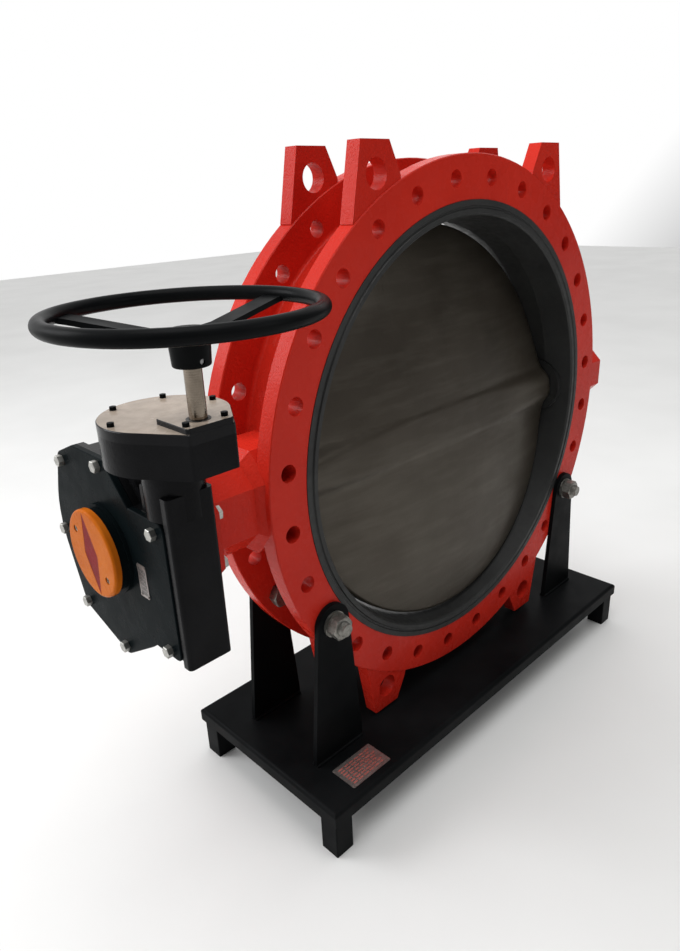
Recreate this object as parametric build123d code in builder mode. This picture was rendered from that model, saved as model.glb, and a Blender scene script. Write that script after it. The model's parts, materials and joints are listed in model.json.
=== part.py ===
from build123d import *
from math import acos, atan2, cos, degrees, pi, radians, sin, sqrt, tan
import os

# Double-flanged butterfly valve, DN1000, on its transport stand.
# Origin at the centre of the front flange face: +X along the stem, +Y along the pipe axis, +Z up.
# Millimetres throughout.

# ---- valve body -------------------------------------------------------------------------
FACE_TO_FACE = 216
FLANGE_R = 627.5
FLANGE_T = 40
EDGE_CHAMFER = 2
BARREL_R = 545
BARREL_BORE_R = 516
BARREL_FILLET = 8
SEAL_RECESS_R = 534
SEAL_RECESS_DEPTH = 6
BOLT_CIRCLE_R = 580
BOLT_COUNT = 28
BOLT_HOLE_R = 18.5
STEM_Y = FACE_TO_FACE / 2

LUG_HOLE = (308.6, 590)
LUG_HOLE_R = 29
LUG_OUTLINE = [(377, 504), (350, 650), (271, 650), (240, 590), (235, 555), (320, 470)]
LUG_RECESS = 3

NECK_END_X = -757
NECK_HALF_Y = 80
NECK_HALF_Z = 89
NECK_CHAMFER = 41
NECK_ROOT_X = -641
NECK_ROOT_FLARE = 21
PAD_T = 28
PAD_SIDE = 266
PAD_CHAMFER = 78
PAD_BOLT_R = 127
PAD_BOLT_COUNT = 8
BOSS_END_X = 721
BOSS_CHAMFER = 43
BOSS_SIDE = 2 * NECK_HALF_Y
INSIDE_BARREL_X = 530

# ---- stem and disc ----------------------------------------------------------------------
STEM_R = 37.5
FIT = 0.05
STEM_BORE_R = 45.05
LINER_MOUTH_R = 500
LINER_BORE_R = 490
LINER_PROUD = 1.5
LINER_LAND_HALF = 30
LINER_STEM_GAP = 0.4
STEM_PAD_X = 480
STEM_PAD_R = 80
DISC_GAP = 0.5
DISC_R = LINER_BORE_R - DISC_GAP
DISC_RIM_HALF_T = 12
DISC_HALF_T = 50
DISC_HUB_R = 54
DISC_END_X = STEM_PAD_X - 0.3
DISC_END_CUT_R = 85
DISC_OPEN = 8
DRIVE_DEPTH = 300
STUB_DEPTH = 200
PIN_R = 11
PIN_X = (-420, -270, 380)
PIN_END_FRONT = 45

# ---- worm gearbox -----------------------------------------------------------------------
WORM_X = -858
WORM_Y = -65
WORM_MODULE = 5
WHEEL_TEETH = 60
PRESSURE_ANGLE = 20
WHEEL_PITCH_R = WORM_MODULE * WHEEL_TEETH / 2
WORM_PITCH_R = STEM_Y - WORM_Y - WHEEL_PITCH_R
WORM_LEAD = pi * WORM_MODULE
TOOTH_HALF_T = 0.22 * WORM_LEAD
ROOT_DEPTH = 1.25 * WORM_MODULE
WHEEL_FACE = 26
WHEEL_HUB_R = 60
WHEEL_RIM_R = WHEEL_PITCH_R - ROOT_DEPTH
WHEEL_HUB_X = (-925, -816)
WHEEL_BODY_HALF = 18
WORM_JOURNAL_R = 14
WORM_BORE_R = 29.5
WORM_THREAD_TURNS = 7.5

PAD_FACE_X = NECK_END_X - PAD_T
BASE_FLANGE_X = -825
SHELL_FRONT_X = -881
HOUSING_FRONT_X = -893
COVER_BACK_X = -894
COVER_FRONT_X = -905
BOSS_FRONT_X = -911
COVER_BOSS_R = 83
BOSS_STEP_X = -924
BOSS_STEP_R = 76
CAP_SEAT_X = -915
CAP_SEAT_R = 66
CAVITY_R = 158
CAVITY_BACK_X = -832
HOUSING_R = 190
HOUSING_TOP = 172
NOTCH = [(75, 172), (13, 104), (-96, 104), (-96, 260), (75, 260)]
BLOCK_Y = (-112, -18)
BLOCK_Z = (-154, 150)
BLOCK_X = (-893, -818)
LIP_X = -902
LIP_Y = -93
NOTCH_WALL = 6
NOTCH_FACE_T = 3.5
SHELL_INSET = 7
LONG_BOLTS = [(241, 133), (105, -202), (240, -160), (281, -15)]
SHORT_BOLTS = [(96, 157), (-62, 83), (-60, -134)]
LONG_BOLT_DEPTH = 36
SHORT_BOLT_DEPTH = 16
BOLT_EAR_R = 17
COLUMN_R = 49
COLUMN_Z = 106

CAP_R = 81
CAP_FRONT_X = -938
CAP_EDGE = 5
POINTER_HALF_LENGTH = 78
POINTER_HALF_WIDTH = 24
POINTER_RECESS = 1.5
CAP_SCREW_R = 58

# ---- spur reducer -----------------------------------------------------------------------
SPUR_MODULE = 3
SPUR_TEETH = 49
PINION_TEETH = 12
INPUT_Y = WORM_Y - SPUR_MODULE * (SPUR_TEETH + PINION_TEETH) / 2
CASE_R = 99
CASE_HALF_X = 41
CASE_END_Y = -190
CASE_CORNER_R = 6
CASE_Z = (200, 252)
CASE_FLOOR = 14
LID_TOP = 268
LID_PAD_TOP = 276
LID_PAD_Y = -104
SPUR_CAVITY_R = 80
PINION_CAVITY_R = 22.5
GEAR_Z = (218, 238)
LID_SCREW_R = 87
LID_PAD_SCREW_X = 32
LID_PAD_SCREW_Y = -174

# ---- handwheel --------------------------------------------------------------------------
INPUT_R = 13
WHEEL_Z = 423.5
RIM_R = 183
RIM_TUBE_R = 11
HUB_Z = (351, 402)
HUB_R = (27, 30)
SPOKE_ANGLES = (9, 129, 249)
SPOKE_WIDTH = 34
SPOKE_T = 8
SPOKE_PATH = [(26, 394), (58, 396), (160, 416), (184, 420)]
HANDWHEEL_PIN_Z = 360
HANDWHEEL_PIN_R = 4

# ---- stand ------------------------------------------------------------------------------
FLOOR_Z = -790
TRAY_TOP = -660
TRAY_X = 1270
TRAY_Y = 500
TRAY_RIM = 35
TRAY_SHEET = 6
TRAY_EDGE = 10
LEG_SIDE = 50
LEG_WALL = 4
UPRIGHT_T = 12
UPRIGHT_BASE = (417, 566)
UPRIGHT_TOP_R = 46
UPRIGHT_BOLT_ANGLE = 2.5 * 360 / BOLT_COUNT
WELD_LEG = 7
M33_R = 16.5
M33_FLATS = 50
M33_HEAD = 21
M33_NUT = 26
M33_WASHER = (30, 5)
M33_END = 12


# ---- helpers ----------------------------------------------------------------------------
def save(piece, label):
    """Label one finished piece and write it as its own STEP file."""
    piece.part.label = label
    export_step(piece.part, f"parts/{label}.step")


def stem_ring(x_start, x_end, outer, inner=0.0, mode=Mode.ADD):
    """Add a disc or ring about the stem axis, from one x to the other."""
    with BuildSketch(Plane.YZ.offset(x_start)) as ring:
        with Locations((STEM_Y, 0)):
            Circle(outer)
            if inner:
                Circle(inner, mode=Mode.SUBTRACT)
    extrude(ring.sketch, amount=x_end - x_start, mode=mode)


def upright_ring(y_axis, z_start, z_end, outer, inner=0.0, mode=Mode.ADD):
    """Add a disc or ring about a vertical axis in the gearbox's mid-plane."""
    with BuildSketch(Plane.XY.offset(z_start)) as ring:
        with Locations((WORM_X, y_axis)):
            Circle(outer)
            if inner:
                Circle(inner, mode=Mode.SUBTRACT)
    extrude(ring.sketch, amount=z_end - z_start, mode=mode)


def octagon(half_y, half_z, corner):
    """Sketch a rectangle with cut corners about the stem axis, in a plane across the stem."""
    with Locations((STEM_Y, 0)):
        Rectangle(2 * half_y, 2 * half_z)
    chamfer(vertices(), corner)


def hex_bolt(across_flats, head, shank_r, shank):
    """One hex-headed bolt about the origin: head above the XY plane, shank below it."""
    with BuildPart(mode=Mode.PRIVATE) as bolt:
        with BuildSketch():
            RegularPolygon(across_flats / 2, 6, major_radius=False)
        extrude(amount=head)
        chamfer(bolt.edges().group_by(Axis.Z)[-1], head * 0.08)
        Cylinder(shank_r, shank, align=(Align.CENTER, Align.CENTER, Align.MAX))
    return bolt.part


def involute(angle):
    """The involute function of a pressure angle in radians."""
    return tan(angle) - angle


def spur_tooth(module, count):
    """Outline of one involute tooth pointing along +X from the gear's centre."""
    pitch_r = module * count / 2
    base_r = pitch_r * cos(radians(PRESSURE_ANGLE))
    root_r = pitch_r - 1.25 * module
    tip_r = pitch_r + 0.85 * module
    half_pitch_angle = 0.205 * 2 * pi / count
    flank = []
    for step in range(5):
        start_r = max(base_r, root_r)
        radius = start_r + (tip_r - start_r) * step / 4
        turn = half_pitch_angle + involute(radians(PRESSURE_ANGLE)) - involute(acos(base_r / radius))
        flank.append((radius * cos(turn), radius * sin(turn)))
    foot_angle = atan2(flank[0][1], flank[0][0])
    foot_r = root_r - 0.5 * module
    foot = (foot_r * cos(foot_angle), foot_r * sin(foot_angle))
    upper = [foot] + flank
    return upper + [(x, -y) for x, y in reversed(upper)]


def spur_teeth(y_axis, module, count, first_angle, z_range):
    """Add a toothed disc about a vertical axis in the gearbox's mid-plane."""
    with BuildSketch(Plane.XY.offset(z_range[0])) as toothed:
        with Locations((WORM_X, y_axis)):
            Circle(module * count / 2 - 1.25 * module)
            with PolarLocations(0, count, start_angle=first_angle):
                Polygon(*spur_tooth(module, count), align=None)
    extrude(toothed.sketch, amount=z_range[1] - z_range[0])


# ---- valve body -------------------------------------------------------------------------
def body_profile():
    """Half section of the two flanges and the barrel, radius along x and pipe axis along y."""
    front = [
        (BARREL_BORE_R, SEAL_RECESS_DEPTH),
        (SEAL_RECESS_R, SEAL_RECESS_DEPTH),
        (SEAL_RECESS_R, 0),
        (FLANGE_R - EDGE_CHAMFER, 0),
        (FLANGE_R, EDGE_CHAMFER),
        (FLANGE_R, FLANGE_T - EDGE_CHAMFER),
        (FLANGE_R - EDGE_CHAMFER, FLANGE_T),
        (BARREL_R, FLANGE_T),
    ]
    rear = [(r, FACE_TO_FACE - y) for r, y in reversed(front)]
    return front + rear


def lug_sketch():
    """Sketch the four lifting lugs of one flange, in a plane across the pipe."""
    for side_x in (1, -1):
        for side_z in (1, -1):
            Polygon(*[(side_x * x, side_z * z) for x, z in LUG_OUTLINE], align=None)
            with Locations((side_x * LUG_HOLE[0], side_z * LUG_HOLE[1])):
                Circle(LUG_HOLE_R, mode=Mode.SUBTRACT)


with BuildPart() as valve_body:
    with BuildSketch(Plane.XY) as section:
        Polygon(*body_profile(), align=None)
        inner_corners = section.vertices().filter_by(lambda v: abs(v.X - BARREL_R) < 1)
        fillet(inner_corners, BARREL_FILLET)
    revolve(axis=Axis.Y)
    for face_y in (LUG_RECESS, FACE_TO_FACE - FLANGE_T + LUG_RECESS):
        with BuildSketch(Plane.XZ.offset(-face_y)):
            lug_sketch()
        extrude(amount=-(FLANGE_T - 2 * LUG_RECESS))
    with BuildSketch(Plane.YZ.offset(NECK_END_X)):
        octagon(NECK_HALF_Y, NECK_HALF_Z, NECK_CHAMFER)
    extrude(amount=-INSIDE_BARREL_X - NECK_END_X)
    with BuildSketch(Plane.YZ.offset(NECK_ROOT_X)):
        octagon(NECK_HALF_Y, NECK_HALF_Z, NECK_CHAMFER)
    extrude(amount=NECK_ROOT_FLARE, taper=-45)
    with BuildSketch(Plane.YZ.offset(NECK_ROOT_X + NECK_ROOT_FLARE)):
        octagon(NECK_HALF_Y, NECK_HALF_Z, NECK_CHAMFER)
        offset(amount=NECK_ROOT_FLARE, kind=Kind.INTERSECTION)
    extrude(amount=-INSIDE_BARREL_X - NECK_ROOT_X - NECK_ROOT_FLARE)
    with BuildSketch(Plane.YZ.offset(PAD_FACE_X)):
        octagon(PAD_SIDE / 2, PAD_SIDE / 2, PAD_CHAMFER)
        with Locations((STEM_Y, 0)):
            with PolarLocations(PAD_BOLT_R, PAD_BOLT_COUNT, start_angle=180 / PAD_BOLT_COUNT):
                Circle(8.75, mode=Mode.SUBTRACT)
    extrude(amount=PAD_T)
    with BuildSketch(Plane.YZ.offset(INSIDE_BARREL_X)):
        octagon(BOSS_SIDE / 2, BOSS_SIDE / 2, BOSS_CHAMFER)
    extrude(amount=BOSS_END_X - INSIDE_BARREL_X)
    stem_ring(PAD_FACE_X, -BARREL_BORE_R + 20, STEM_BORE_R, mode=Mode.SUBTRACT)
    stem_ring(BARREL_BORE_R - 20, BOSS_END_X, STEM_BORE_R, mode=Mode.SUBTRACT)
    with BuildSketch(Plane.YZ.offset(BOSS_END_X)):
        with Locations((STEM_Y, 0)):
            with PolarLocations(62, 4, start_angle=45):
                Circle(5)
    extrude(amount=-28, mode=Mode.SUBTRACT)
    for face_y in (0, FACE_TO_FACE - FLANGE_T):
        with BuildSketch(Plane.XZ.offset(-face_y)):
            with PolarLocations(BOLT_CIRCLE_R, BOLT_COUNT, start_angle=180 / BOLT_COUNT):
                Circle(BOLT_HOLE_R)
        extrude(amount=-FLANGE_T, mode=Mode.SUBTRACT)


# ---- rubber seat ------------------------------------------------------------------------
def liner_profile():
    """Half section of the rubber seat with its grooved sealing ring on each flange face."""
    front = [
        (LINER_BORE_R, STEM_Y - LINER_LAND_HALF),
        (LINER_MOUTH_R, 12),
        (LINER_MOUTH_R + 1.5, 3),
        (LINER_MOUTH_R + 5, -LINER_PROUD),
        (LINER_MOUTH_R + 14, -LINER_PROUD),
        (LINER_MOUTH_R + 16, LINER_PROUD),
        (LINER_MOUTH_R + 20, LINER_PROUD),
        (LINER_MOUTH_R + 22, -LINER_PROUD),
        (SEAL_RECESS_R - 0.5, -LINER_PROUD),
        (SEAL_RECESS_R - 0.5, SEAL_RECESS_DEPTH),
        (BARREL_BORE_R, SEAL_RECESS_DEPTH),
    ]
    rear = [(r, FACE_TO_FACE - y) for r, y in reversed(front)]
    return front + rear


with BuildPart() as seat_liner:
    with BuildSketch(Plane.XY):
        Polygon(*liner_profile(), align=None)
    revolve(axis=Axis.Y)
    stem_ring(STEM_PAD_X, STEM_PAD_X + 18, STEM_PAD_R)
    stem_ring(-STEM_PAD_X, -STEM_PAD_X - 18, STEM_PAD_R)
    stem_ring(-BARREL_R, BARREL_R, STEM_R + LINER_STEM_GAP, mode=Mode.SUBTRACT)


# ---- stem bearings and seals ------------------------------------------------------------
with BuildPart() as stem_bush_gear_side:
    stem_ring(-745, -615, STEM_BORE_R - FIT, STEM_R + FIT)

with BuildPart() as stem_bush_end_side:
    stem_ring(585, 695, STEM_BORE_R - FIT, STEM_R + FIT)

with BuildPart() as stem_o_rings:
    for ring_x in (-600, -585, -760, 565):
        with Locations(Plane(origin=(ring_x, STEM_Y, 0), z_dir=(1, 0, 0))):
            Torus((STEM_R + STEM_BORE_R) / 2, (STEM_BORE_R - STEM_R) / 2 - 0.2)

with BuildPart() as thrust_washer:
    stem_ring(BOSS_END_X - 18, BOSS_END_X - 0.2, STEM_BORE_R - 0.5)

END_COVER_X = 735
with BuildPart() as end_cover:
    with BuildSketch(Plane.YZ.offset(BOSS_END_X)):
        octagon(BOSS_SIDE / 2, BOSS_SIDE / 2, BOSS_CHAMFER)
        with Locations((STEM_Y, 0)):
            with PolarLocations(62, 4, start_angle=45):
                Circle(5.5, mode=Mode.SUBTRACT)
    extrude(amount=END_COVER_X - BOSS_END_X)
    chamfer(faces().sort_by(Axis.X)[-1].outer_wire().edges(), 2)
    with BuildSketch(Plane.YZ.offset(END_COVER_X)):
        with Locations((STEM_Y, 0)):
            with PolarLocations(62, 4, start_angle=45):
                Circle(9)
    extrude(amount=-10.5, mode=Mode.SUBTRACT)

with BuildPart() as end_cover_screws:
    for angle in (45, 135, 225, 315):
        head_plane = Plane(
            origin=(END_COVER_X - 10.5, STEM_Y + 62 * cos(radians(angle)), 62 * sin(radians(angle))),
            z_dir=(1, 0, 0),
        )
        with BuildSketch(head_plane):
            Circle(8)
        extrude(amount=10)
        with BuildSketch(head_plane.offset(10)):
            RegularPolygon(4, 6, major_radius=False)
        extrude(amount=-5, mode=Mode.SUBTRACT)
        with BuildSketch(head_plane):
            Circle(4.9)
        extrude(amount=-26)

with BuildPart() as pad_bolts:
    with Locations(Plane(origin=(NECK_END_X, STEM_Y, 0), z_dir=(1, 0, 0))):
        with PolarLocations(PAD_BOLT_R, PAD_BOLT_COUNT, start_angle=180 / PAD_BOLT_COUNT):
            add(hex_bolt(24, 10, 7.9, 54))

# ---- disc and stems ---------------------------------------------------------------------
TILT = radians(DISC_OPEN)
DISC_PLANE = Plane(origin=(0, STEM_Y, 0), x_dir=(1, 0, 0), z_dir=(0, -cos(TILT), sin(TILT)))
DISC_SECTION = Plane(origin=(0, STEM_Y, 0), x_dir=(1, 0, 0), z_dir=(0, -sin(TILT), -cos(TILT)))

with BuildPart() as disc:
    rim_r = sqrt(DISC_R**2 - DISC_RIM_HALF_T**2)
    with BuildSketch(DISC_SECTION):
        with BuildLine():
            crown = ThreePointArc(
                (0, DISC_HALF_T), (rim_r * 0.62, DISC_HALF_T * 0.70), (rim_r, DISC_RIM_HALF_T)
            )
            rim = ThreePointArc(crown @ 1, (DISC_R, 0), (rim_r, -DISC_RIM_HALF_T))
            back = ThreePointArc(
                rim @ 1, (rim_r * 0.62, -DISC_HALF_T * 0.70), (0, -DISC_HALF_T)
            )
            Line(back @ 1, crown @ 0)
        make_face()
    revolve(axis=Axis((0, STEM_Y, 0), (0, -cos(TILT), sin(TILT))))
    stem_ring(-DISC_END_X, DISC_END_X, DISC_HUB_R)
    for end in (1, -1):
        stem_ring(end * DISC_END_X, end * (DISC_END_X + 30), DISC_END_CUT_R, mode=Mode.SUBTRACT)
    stem_ring(-DISC_END_X, -DISC_END_X + DRIVE_DEPTH, STEM_R + FIT, mode=Mode.SUBTRACT)
    stem_ring(DISC_END_X - STUB_DEPTH, DISC_END_X, STEM_R + FIT, mode=Mode.SUBTRACT)
    with BuildSketch(DISC_PLANE.offset(-120)):
        with Locations(*[(x, 0) for x in PIN_X]):
            Circle(PIN_R)
    extrude(amount=120 + PIN_END_FRONT, mode=Mode.SUBTRACT)

with BuildPart() as disc_pins:
    with BuildSketch(DISC_PLANE.offset(-DISC_HUB_R + 3)):
        with Locations(*[(x, 0) for x in PIN_X]):
            Circle(PIN_R - FIT)
    extrude(amount=DISC_HUB_R - 3 + PIN_END_FRONT - 1)


def pin_holes(xs):
    """Cut the disc pins' cross holes through a stem."""
    with BuildSketch(DISC_PLANE.offset(-120)) as holes:
        with Locations(*[(x, 0) for x in xs]):
            Circle(PIN_R)
    extrude(holes.sketch, amount=240, mode=Mode.SUBTRACT)


DRIVE_END_X = -908
KEY_WIDTH = 20
KEY_X = (-882, -834)
KEY_TOP = STEM_R + 5
KEY_SEAT = STEM_R - 7


def key_box(x_start, x_end, clearance=0.0, mode=Mode.ADD):
    """Add or cut the wheel key's section, square to the disc, from one x to the other."""
    with BuildSketch(Plane.YZ.offset(x_start)) as section:
        with Locations(Location((STEM_Y, 0), -DISC_OPEN)):
            with Locations((0, (KEY_TOP + KEY_SEAT) / 2)):
                Rectangle(KEY_WIDTH + 2 * clearance, KEY_TOP - KEY_SEAT + 2 * clearance)
    extrude(section.sketch, amount=x_end - x_start, mode=mode)


with BuildPart() as wheel_key:
    key_box(*KEY_X)

with BuildPart() as drive_shaft:
    stem_ring(DRIVE_END_X, -DISC_END_X + DRIVE_DEPTH - 2, STEM_R)
    pin_holes(PIN_X[:2])
    key_box(DRIVE_END_X, KEY_X[1] + FIT, FIT, mode=Mode.SUBTRACT)

with BuildPart() as stub_shaft:
    stem_ring(DISC_END_X - STUB_DEPTH + 2, BOSS_END_X - 19, STEM_R)
    pin_holes(PIN_X[2:])


# ---- worm wheel -------------------------------------------------------------------------
def flank_half(distance):
    """Half thickness of a rack-shaped tooth, at a distance above its pitch line."""
    return TOOTH_HALF_T - distance * tan(radians(PRESSURE_ANGLE))


LEAD_SLOPE = WORM_MODULE / (2 * WORM_PITCH_R)

with BuildPart() as wheel_tooth:
    with BuildSketch(Plane.XY.offset(-WHEEL_FACE / 2)):
        shift = LEAD_SLOPE * WHEEL_FACE / 2
        tip_r = WHEEL_PITCH_R + WORM_MODULE * 0.9
        foot_r = WHEEL_RIM_R - 3
        foot_half = flank_half(-ROOT_DEPTH)
        tip_half = flank_half(WORM_MODULE)
        Polygon(
            (-foot_r, shift - foot_half),
            (-WHEEL_RIM_R, shift - foot_half),
            (-tip_r, shift - tip_half),
            (-tip_r, shift + tip_half),
            (-WHEEL_RIM_R, shift + foot_half),
            (-foot_r, shift + foot_half),
            align=None,
        )
    extrude(amount=WHEEL_FACE * sqrt(1 + LEAD_SLOPE**2), dir=(0, -LEAD_SLOPE, 1))

CAP_FACE = Plane(
    origin=(CAP_FRONT_X, STEM_Y, 0), x_dir=(0, -cos(TILT), sin(TILT)), z_dir=(-1, 0, 0)
)


def cap_screw_places():
    """Where the two cap screws stand on the cap's face."""
    across = CAP_SCREW_R * cos(pi / 4)
    return [(-across, across), (across, -across)]


with BuildPart() as worm_wheel:
    stem_ring(WORM_X - WHEEL_BODY_HALF, WORM_X + WHEEL_BODY_HALF, WHEEL_RIM_R)
    for face in (1, -1):
        stem_ring(WORM_X + face * 8, WORM_X + face * WHEEL_BODY_HALF, WHEEL_RIM_R - 22, 85, mode=Mode.SUBTRACT)
    with Locations(Plane(origin=(WORM_X, STEM_Y, 0), x_dir=(0, 1, 0), z_dir=(1, 0, 0))):
        with PolarLocations(0, WHEEL_TEETH):
            add(wheel_tooth.part)
    stem_ring(*WHEEL_HUB_X, WHEEL_HUB_R)
    stem_ring(WHEEL_HUB_X[0], CAP_SEAT_X, CAP_SEAT_R)
    with BuildSketch(CAP_FACE.offset(CAP_FRONT_X - WHEEL_HUB_X[0])):
        with Locations(*cap_screw_places()):
            Circle(3 + FIT)
    extrude(amount=WHEEL_HUB_X[0] - CAP_SEAT_X, mode=Mode.SUBTRACT)
    stem_ring(*WHEEL_HUB_X, STEM_R + FIT, mode=Mode.SUBTRACT)
    key_box(WHEEL_HUB_X[0], KEY_X[1] + FIT, FIT, mode=Mode.SUBTRACT)

# ---- worm -------------------------------------------------------------------------------
WORM_HALF = WORM_THREAD_TURNS / 2 * WORM_LEAD
WORM_CORE_R = WORM_PITCH_R - ROOT_DEPTH
WORM_CORE_Z = 106
WORM_BOTTOM = -136
WORM_TOP = 249
GEAR_KEY_Z = (220, 241)

with BuildPart() as worm_shaft:
    with BuildLine():
        thread_path = Helix(
            pitch=WORM_LEAD, height=2 * WORM_HALF, radius=WORM_PITCH_R, center=(WORM_X, WORM_Y, -WORM_HALF)
        )
    with BuildSketch(Plane(origin=thread_path @ 0, x_dir=(1, 0, 0), z_dir=(0, 1, 0))):
        Polygon(
            (-ROOT_DEPTH - 0.7, -flank_half(-ROOT_DEPTH)),
            (WORM_MODULE * 0.9, -flank_half(WORM_MODULE)),
            (WORM_MODULE * 0.9, flank_half(WORM_MODULE)),
            (-ROOT_DEPTH - 0.7, flank_half(-ROOT_DEPTH)),
            align=None,
        )
    sweep(path=thread_path, is_frenet=True)
    upright_ring(WORM_Y, -WORM_CORE_Z, WORM_CORE_Z, WORM_CORE_R)
    upright_ring(WORM_Y, WORM_BOTTOM, WORM_TOP, WORM_JOURNAL_R)
    with BuildSketch(Plane.XY.offset(GEAR_KEY_Z[0] - 2)):
        with Locations((WORM_X, WORM_Y + WORM_JOURNAL_R)):
            Rectangle(8 + 2 * FIT, 8 + 2 * FIT)
    extrude(amount=WORM_TOP - GEAR_KEY_Z[0] + 2, mode=Mode.SUBTRACT)

with BuildPart() as gear_key:
    with BuildSketch(Plane.XY.offset(GEAR_KEY_Z[0])):
        with Locations((WORM_X, WORM_Y + WORM_JOURNAL_R)):
            Rectangle(8, 7)
    extrude(amount=GEAR_KEY_Z[1] - GEAR_KEY_Z[0])

with BuildPart() as spur_gear:
    spur_teeth(WORM_Y, SPUR_MODULE, SPUR_TEETH, -90, GEAR_Z)
    upright_ring(WORM_Y, GEAR_Z[0] - 2, GEAR_Z[1] + 4, 30)
    upright_ring(WORM_Y, GEAR_Z[1] - 6, GEAR_Z[1], 62, 36, mode=Mode.SUBTRACT)
    upright_ring(WORM_Y, GEAR_Z[0] - 2, GEAR_Z[1] + 4, WORM_JOURNAL_R + FIT, mode=Mode.SUBTRACT)
    with BuildSketch(Plane.XY.offset(GEAR_Z[0] - 2)):
        with Locations((WORM_X, WORM_Y + WORM_JOURNAL_R)):
            Rectangle(8 + 2 * FIT, 7 + 2 * FIT)
    extrude(amount=GEAR_Z[1] - GEAR_Z[0] + 6, mode=Mode.SUBTRACT)

with BuildPart() as gear_retaining_nut:
    with BuildSketch(Plane.XY.offset(GEAR_Z[1] + 4.2)):
        with Locations((WORM_X, WORM_Y)):
            RegularPolygon(20, 6, major_radius=False)
            Circle(WORM_JOURNAL_R + FIT, mode=Mode.SUBTRACT)
    extrude(amount=6.5)

BEARING_LOWER_Z = (-137, -107)
BEARING_UPPER_Z = (107, 137)
with BuildPart() as worm_bearing_lower:
    upright_ring(WORM_Y, *BEARING_LOWER_Z, WORM_BORE_R - FIT, WORM_JOURNAL_R + FIT)

with BuildPart() as worm_bearing_upper:
    upright_ring(WORM_Y, *BEARING_UPPER_Z, WORM_BORE_R - FIT, WORM_JOURNAL_R + FIT)

with BuildPart() as worm_bearing_nut:
    upright_ring(WORM_Y, BEARING_UPPER_Z[1] + 0.2, BEARING_UPPER_Z[1] + 14, WORM_BORE_R - FIT, WORM_JOURNAL_R + 1)


# ---- worm gearbox housing ---------------------------------------------------------------
def cover_outline():
    """Sketch the housing's outline: a round shell, its bolt ears and the worm's square side."""
    with BuildSketch(mode=Mode.PRIVATE) as shell:
        with Locations((STEM_Y, 0)):
            Circle(HOUSING_R)
        with Locations(*LONG_BOLTS):
            Circle(BOLT_EAR_R)
        make_hull()
    add(shell.sketch)
    Polygon((-92, -146), (40, -146), (40, 104), (-92, 104), align=None)
    Polygon((-96, HOUSING_TOP), (320, HOUSING_TOP), (320, 260), (-96, 260), align=None, mode=Mode.SUBTRACT)
    Polygon(*NOTCH, align=None, mode=Mode.SUBTRACT)


with BuildSketch() as cover_shape:
    cover_outline()
    outer_corners = cover_shape.vertices().filter_by(lambda v: v.X < -90)
    fillet(outer_corners, 14)


def bolt_circles(radius, mode=Mode.ADD):
    """Sketch a circle at each cover bolt."""
    with Locations(*LONG_BOLTS, *SHORT_BOLTS):
        Circle(radius, mode=mode)


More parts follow.
